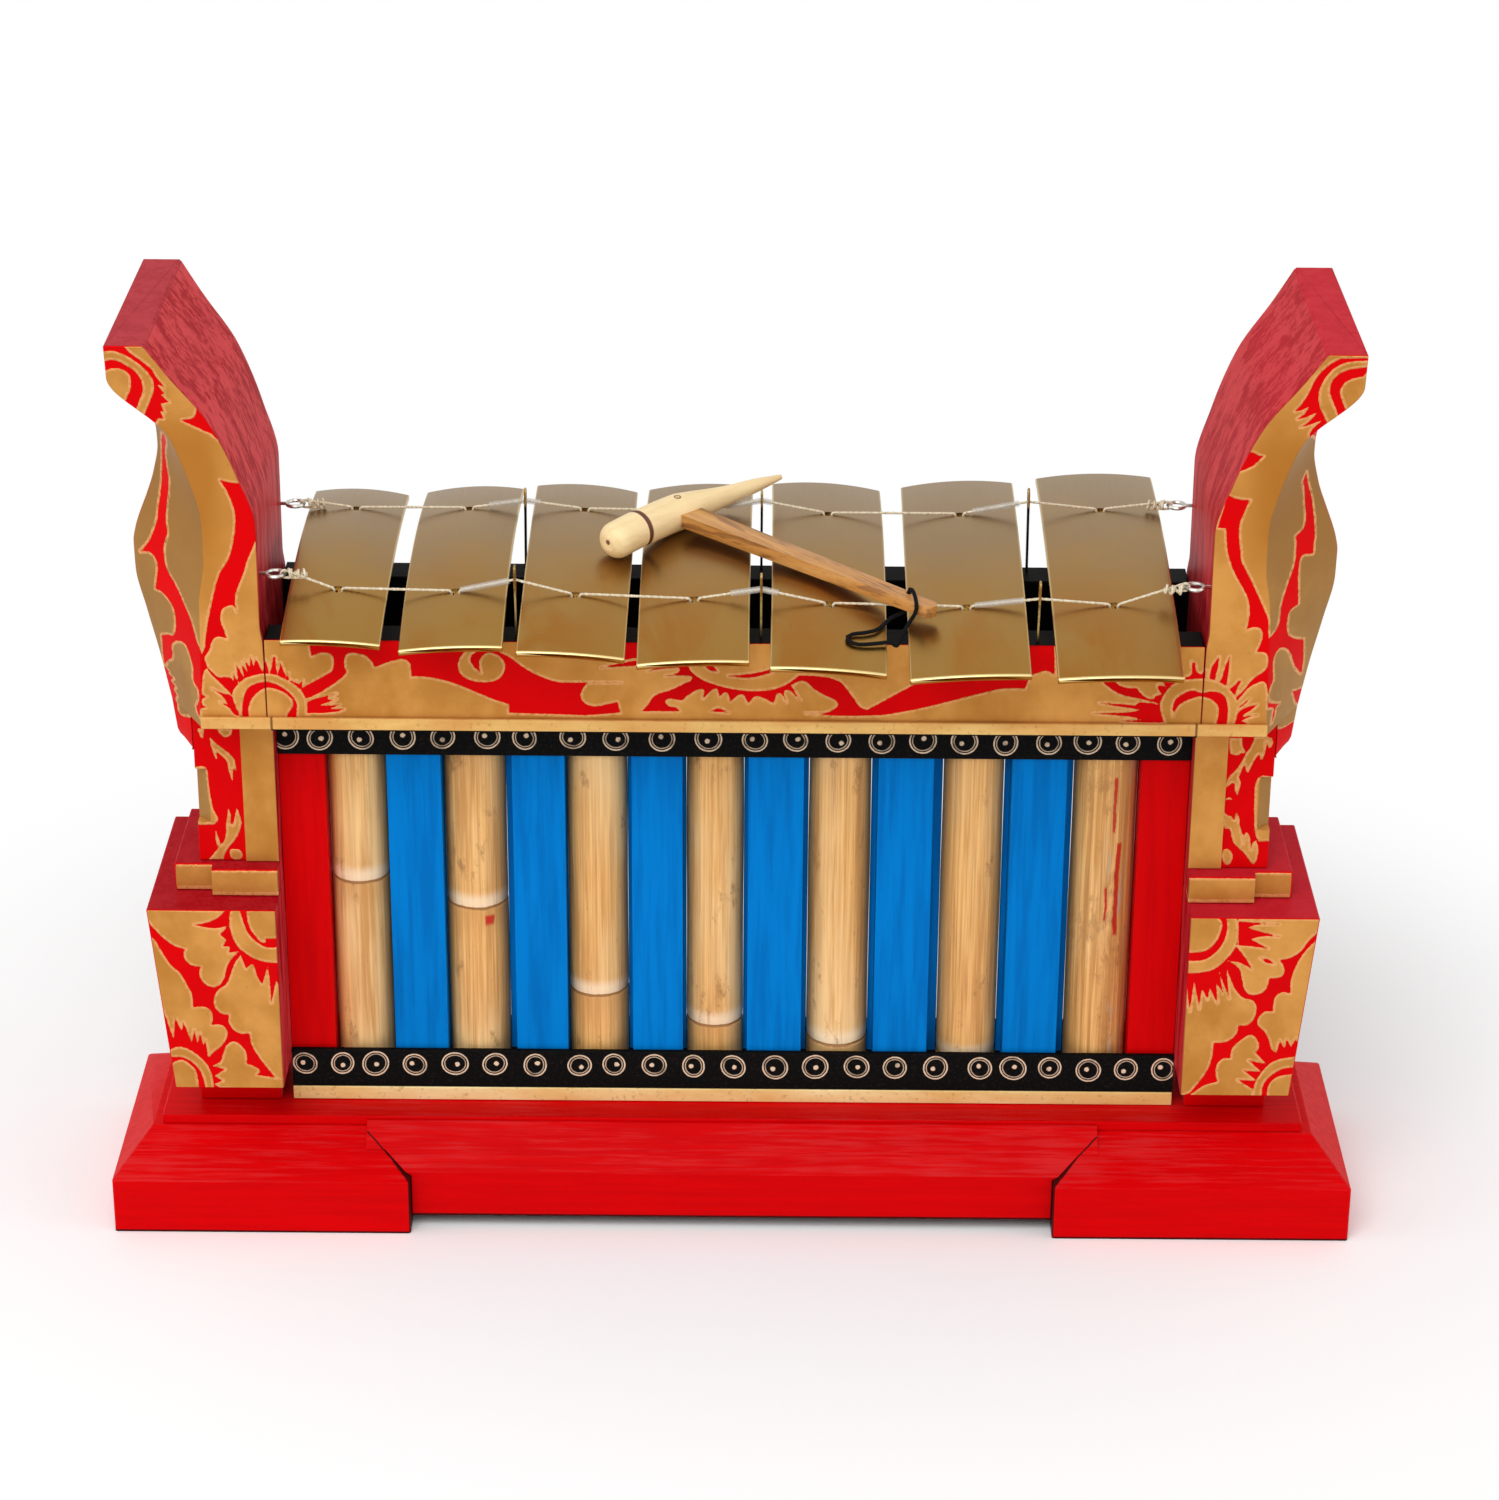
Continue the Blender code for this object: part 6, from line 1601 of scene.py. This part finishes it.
class MetallophoneLook(bpy.types.PropertyGroup):
    """Colours of the paints and materials."""

    red: colour_of("Red", "Enamel of the case and base", (0.68, 0.0004, 0.0015))
    red_deep: colour_of("Deep red", "Thicker places of the enamel", (0.54, 0.0003, 0.002))
    # Paler streaks of painted sheen on the side faces
    side: colour_of("Side red", "Brushed streaks on the side faces", (0.66, 0.055, 0.06))
    # Painted shade: the side faces' ground, the right end's side faces and the lower tops
    side_shade: colour_of("Deep side red", "Ground of the side faces", (0.38, 0.003, 0.009))
    # Painted shade: the top of the left horn
    top_shade_left: colour_of("Left tip", "Top of the left horn", (0.40, 0.035, 0.045))
    # Painted light: the top of the right horn, and mostly of the right blocks' tops
    top_light_right: colour_of("Right tip", "Top of the right horn", (0.58, 0.015, 0.03))
    gold: colour_of("Gold", "Brassy paint of the ornament", (0.66, 0.31, 0.075))
    gold_deep: colour_of("Deep gold", "Darker patches of the gold paint", (0.52, 0.225, 0.045))
    # Painted reflection: orange-brown patches in the gold and across the horns' middle
    gold_reflection: colour_of("Warm gold", "Orange-brown places in the gold", (0.42, 0.155, 0.02))
    # Painted shade: gold on the slanting faces of the horns' wings
    gold_shade: colour_of("Grey gold", "Gold on the slanting faces", (0.22, 0.135, 0.05))
    # Also the painted highlight down the red slats' edges on the tubes' side
    pale_rim_and_highlight: colour_of("Gold edge", "Pale rim where gold meets red", (0.78, 0.38, 0.15))
    gold_stain: colour_of("Gold stain", "Dark specks and joints in the gold", (0.20, 0.085, 0.016))
    molding: colour_of("Molding", "Gold of the case's molding", (0.84, 0.55, 0.18))
    strip: colour_of("Base strip", "Creamy gold over the base", (1.0, 0.86, 0.44))
    blue: colour_of("Blue", "Paint of the inner slats", (0.0, 0.20, 0.62))
    blue_deep: colour_of("Deep blue", "Streaks in the blue", (0.0, 0.15, 0.50))
    black: colour_of("Black", "Paint of the bands and the case's inside", (0.004, 0.004, 0.004))
    black_worn: colour_of("Worn black", "Rubbed places of the black paint", (0.02, 0.015, 0.012))
    ring: colour_of("Rings", "Painted rings on the black bands", (0.80, 0.60, 0.42))
    bamboo: colour_of("Bamboo", "Dried culm of the resonators", (0.92, 0.52, 0.18))
    bamboo_pale: colour_of("Pale bamboo", "Paler patches of the culm", (1.0, 0.72, 0.36))
    bamboo_deep: colour_of("Deep bamboo", "Fibres and streaks of the culm", (0.58, 0.27, 0.075))
    bamboo_stain: colour_of("Bamboo stain", "Spots and node lines", (0.30, 0.125, 0.04))
    bamboo_bloom: colour_of("Bamboo bloom", "Whitish band over each node", (1.0, 0.80, 0.56))
    scratch: colour_of("Scratches", "Grey scratches of the last tube", (0.50, 0.42, 0.34))
    brass: colour_of("Brass", "Face of the keys", (0.35, 0.19, 0.042))
    # Darker cloud on the keys, and a painted shade that deepens towards their back
    brass_shade_and_cloud: colour_of("Deep brass", "Darker cloud on the keys", (0.28, 0.18, 0.08))
    # Painted reflection: orange-brown patches of the keys and the lower part of their front rim
    brass_reflection: colour_of("Warm brass", "Orange-brown patches of the keys", (0.34, 0.13, 0.014))
    # Painted highlight: bright front rims and paler sides of the keys
    brass_highlight: colour_of("Brass edge", "Bright rims of the keys", (0.85, 0.66, 0.30))
    wire: colour_of("Wire", "Brass wire of the string posts", (0.50, 0.34, 0.12))
    wood: colour_of("Wood", "Pale wood of the mallet's head", (0.95, 0.74, 0.40))
    wood_deep: colour_of("Wood grain", "Grain of the mallet's head", (0.72, 0.47, 0.20))
    groove: colour_of("Groove", "Stain in the mallet's groove", (0.12, 0.03, 0.015))
    handle: colour_of("Handle", "Brown bamboo of the handle", (0.56, 0.25, 0.055))
    handle_pale: colour_of("Pale handle", "Lighter streaks of the handle", (0.78, 0.42, 0.13))
    handle_deep: colour_of("Handle grain", "Dark grain of the handle", (0.24, 0.09, 0.022))
    string: colour_of("String", "Suspension string", (0.84, 0.76, 0.58))
    string_deep: colour_of("String shade", "Hollows of the string's twist", (0.55, 0.46, 0.30))


class MetallophoneStageSettings(bpy.types.PropertyGroup):
    """Floor, lights and surroundings."""

    floor_size: bpy.props.FloatProperty(
        name="Floor size", description="Side of the floor", subtype="DISTANCE", default=40.0
    )
    key_power: bpy.props.FloatProperty(
        name="Key light", description="Power of the large light over the front",
        subtype="POWER", default=30.0,
    )
    fill_power: bpy.props.FloatProperty(
        name="Fill light", description="Power of each side light", subtype="POWER", default=9.0
    )
    surroundings: bpy.props.FloatProperty(
        name="Surroundings", description="Level of the even light from all round", default=0.58
    )


def make_floor(settings):
    """A pale floor that keeps the object's shadow and turns plain white away from it."""
    half = settings.floor_size / 2
    corners = [(-half, -half, 0), (half, -half, 0), (half, half, 0), (-half, half, 0)]
    mesh = bpy.data.meshes.new("floor")
    mesh.from_pydata(corners, [], [(0, 1, 2, 3)])
    floor = link(bpy.data.objects.new("floor", mesh))
    made = Finish("pale_floor", 0.9, Base_Color=(1.0, 1.0, 1.0), Specular_IOR_Level=0.1)
    white = made.node("ShaderNodeEmission", {}, {"Color": (1, 1, 1), "Strength": 1.0})
    away = made.distance((0, 0, 0)).between(*SHADOW_REACH)
    surface = made.node("ShaderNodeMixShader", {}, {0: away, 2: white})
    made.tree.links.new(made.shader.outputs[0], surface.socket.node.inputs[1])
    made.tree.links.new(surface.socket, made.tree.nodes["Material Output"].inputs["Surface"])
    dress(floor, made)


def make_world(settings):
    """Even light from all round; the camera and reflections see it as white."""
    world = bpy.data.worlds.new("studio")
    world.use_nodes = True
    bpy.context.scene.world = world
    nodes, links = world.node_tree.nodes, world.node_tree.links
    plain, white = nodes["Background"], nodes.new("ShaderNodeBackground")
    for background in (plain, white):
        background.inputs["Color"].default_value = (1, 1, 1, 1)
    plain.inputs["Strength"].default_value = settings.surroundings
    path = nodes.new("ShaderNodeLightPath")
    share = path.outputs["Is Camera Ray"]
    for name in ("Is Glossy Ray", "Is Transmission Ray"):
        add = nodes.new("ShaderNodeMath")
        add.operation = "MAXIMUM"
        links.new(share, add.inputs[0])
        links.new(path.outputs[name], add.inputs[1])
        share = add.outputs[0]
    mix = nodes.new("ShaderNodeMixShader")
    for index, socket in enumerate((share, plain.outputs[0], white.outputs[0])):
        links.new(socket, mix.inputs[index])
    links.new(mix.outputs[0], nodes["World Output"].inputs["Surface"])


def make_light(name, place, size, power):
    """A square soft light aimed at the middle of the instrument."""
    light = bpy.data.lights.new(name, "AREA")
    light.shape = "SQUARE"
    light.size = size
    light.energy = power
    lamp = link(bpy.data.objects.new(name, light))
    lamp.location = place
    aim = Vector(LIT_MIDDLE) - Vector(place)
    lamp.rotation_euler = aim.to_track_quat("-Z", "Y").to_euler()


def make_camera():
    camera = bpy.data.cameras.new("camera")
    camera.sensor_width = SENSOR
    camera.lens = CAMERA_LENS
    seen = link(bpy.data.objects.new("camera", camera))
    pitch = Matrix.Rotation(math.radians(90 - CAMERA_PITCH), 4, "X")
    yaw = Matrix.Rotation(math.radians(CAMERA_YAW), 4, "Z")
    roll = Matrix.Rotation(math.radians(CAMERA_ROLL), 4, "Z")
    seen.matrix_world = Matrix.Translation(CAMERA_PLACE) @ yaw @ pitch @ roll
    bpy.context.scene.camera = seen


FINISHES = {}


def finish_of(context, name):
    """A finish by name; the finishes are made once, on the first call."""
    if not FINISHES:
        FINISHES.update(make_finishes(context.scene.metallophone_look))
    return FINISHES[name]


class MetallophoneStage(bpy.types.Operator):
    """Adds the pale floor, the soft studio lights and the photograph's camera"""

    bl_idname = "metallophone.stage"
    bl_label = "Stage"

    def execute(self, context):
        settings = context.scene.metallophone_stage
        make_camera()
        make_floor(settings)
        make_world(settings)
        make_light("key_light", (-0.5, -1.6, 2.0), 1.6, settings.key_power)
        for side_name, side in SIDES.items():
            make_light(f"{side_name}_light", (side * 2.2, -0.4, 1.2), 1.4, settings.fill_power)
        context.scene.view_settings.view_transform = "Standard"
        return {"FINISHED"}


class MetallophoneBlocks(bpy.types.Operator):
    """Finishes the solids that stay as they are, with softened edges"""

    bl_idname = "metallophone.blocks"
    bl_label = "Base, moldings and slats"

    def execute(self, context):
        for name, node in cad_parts.items():
            fits = [stem for stem in SOFTENED if name.startswith(stem)]
            if not fits:
                continue
            finish_name, width = SOFTENED[max(fits, key=len)]
            dress(name, finish_of(context, finish_name))
            node.modifiers.new("merge", "WELD").merge_threshold = 1e-6
            if width:
                edges = node.modifiers.new("edges", "BEVEL")
                edges.width, edges.segments = width, 3
                edges.limit_method, edges.angle_limit = "ANGLE", math.radians(35)
        return {"FINISHED"}


class MetallophoneEnds(bpy.types.Operator):
    """Builds both ends: horned post, column, step and lower block, with their gold ornament"""

    bl_idname = "metallophone.ends"
    bl_label = "End supports"

    def execute(self, context):
        finish = finish_of(context, "painted")
        for side_name, side in SIDES.items():
            for make in (make_horn, make_column, make_step, make_lower_block):
                make(side_name, side, finish)
        return {"FINISHED"}


class MetallophoneCase(bpy.types.Operator):
    """Builds the ornamented rails and the ringed black bands"""

    bl_idname = "metallophone.case"
    bl_label = "Rails and bands"

    def execute(self, context):
        for seed, (face_name, face) in enumerate(FACES.items()):
            make_rail(face_name, face, finish_of(context, "painted_along"))
            for level, centres in (("upper", UPPER_RINGS), ("lower", LOWER_RINGS)):
                name, finish = f"{face_name}_{level}_band", finish_of(context, "ringed")
                make_band(name, centres, BAND_MIDDLES[level], finish, len(centres) + seed)
        return {"FINISHED"}


class MetallophoneTubes(bpy.types.Operator):
    """Turns the seven bamboo resonators"""

    bl_idname = "metallophone.tubes"
    bl_label = "Resonators"

    def execute(self, context):
        for index in range(1, KEY_COUNT + 1):
            make_tube(index, finish_of(context, f"bamboo_{index}"))
        return {"FINISHED"}


class MetallophoneKeys(bpy.types.Operator):
    """Builds the seven arched brass keys with their string holes and pegs"""

    bl_idname = "metallophone.keys"
    bl_label = "Keys"

    def execute(self, context):
        for key in plan_keys():
            make_key(key, finish_of(context, "brass"))
        return {"FINISHED"}


class MetallophoneStrings(bpy.types.Operator):
    """Strings the keys: twisted string, clear sleeves, whipped ends, wire posts and screw eyes"""

    bl_idname = "metallophone.strings"
    bl_label = "Strings and hardware"

    def execute(self, context):
        string, steel = finish_of(context, "string"), finish_of(context, "steel")
        for face_name in FACES:
            line = make_strings(face_name, plan_keys(), string)
            make_sleeves(face_name, line, finish_of(context, "sleeve"))
            for side_name in SIDES:
                make_knot(face_name, side_name, string)
                soften(f"{face_name}_screw_eye_{side_name}", steel, "root", "steel_wire")
            wire_finish = finish_of(context, f"wire_{face_name}")
            for index in range(1, len(POST_AFTER_KEYS) + 1):
                name = f"{face_name}_string_post_{index}"
                soften(name, wire_finish, "root", "brass_wire")
        return {"FINISHED"}


class MetallophoneMallet(bpy.types.Operator):
    """Builds the mallet's turned head and its bamboo handle"""

    bl_idname = "metallophone.mallet"
    bl_label = "Mallet"

    def execute(self, context):
        make_mallet_head(finish_of(context, "wood"))
        soften("mallet_handle", finish_of(context, "handle"), "mallet", "brown_bamboo")
        return {"FINISHED"}


class MetallophoneCord(bpy.types.Operator):
    """Lays the mallet's wrist cord over the handle and the keys"""

    bl_idname = "metallophone.cord"
    bl_label = "Wrist cord"

    def execute(self, context):
        route = smooth_route(CORD_ROUTE, CORD_POINTS) + (0, 0, RAIL_TOP)
        curve = bpy.data.curves.new("cord_loop", "CURVE")
        curve.dimensions = "3D"
        curve.bevel_depth = 0.001
        curve.bevel_resolution = 3
        curve.use_fill_caps = True
        spline = curve.splines.new("POLY")
        spline.points.add(len(route) - 1)
        spline.points.foreach_set("co", np.column_stack([route, np.ones(len(route))]).ravel())
        cord = link(bpy.data.objects.new("cord_loop", curve))
        curve.materials.append(finish_of(context, "cord").material)
        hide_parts("wrist_cord")
        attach(cord, "mallet")
        return {"FINISHED"}


OPERATORS = (
    MetallophoneStage, MetallophoneBlocks, MetallophoneEnds, MetallophoneCase, MetallophoneTubes,
    MetallophoneKeys, MetallophoneStrings, MetallophoneMallet, MetallophoneCord,
)


class MetallophonePanel(bpy.types.Panel):
    """Lists the steps in the order in which they build the instrument"""

    bl_idname = "VIEW3D_PT_metallophone"
    bl_label = "Metallophone"
    bl_space_type = "VIEW_3D"
    bl_region_type = "UI"
    bl_category = "Metallophone"

    def draw(self, context):
        for operator in OPERATORS:
            self.layout.operator(operator.bl_idname)


CLASSES = (MetallophoneLook, MetallophoneStageSettings, *OPERATORS, MetallophonePanel)


def register():
    for item in CLASSES:
        bpy.utils.register_class(item)
    scene = bpy.types.Scene
    scene.metallophone_look = bpy.props.PointerProperty(type=MetallophoneLook)
    scene.metallophone_stage = bpy.props.PointerProperty(type=MetallophoneStageSettings)


def unregister():
    del bpy.types.Scene.metallophone_look
    del bpy.types.Scene.metallophone_stage
    for item in reversed(CLASSES):
        bpy.utils.unregister_class(item)


def main():
    register()
    for operator in OPERATORS:
        group, name = operator.bl_idname.split(".")
        getattr(getattr(bpy.ops, group), name)()


if __name__ == "__main__":
    main()
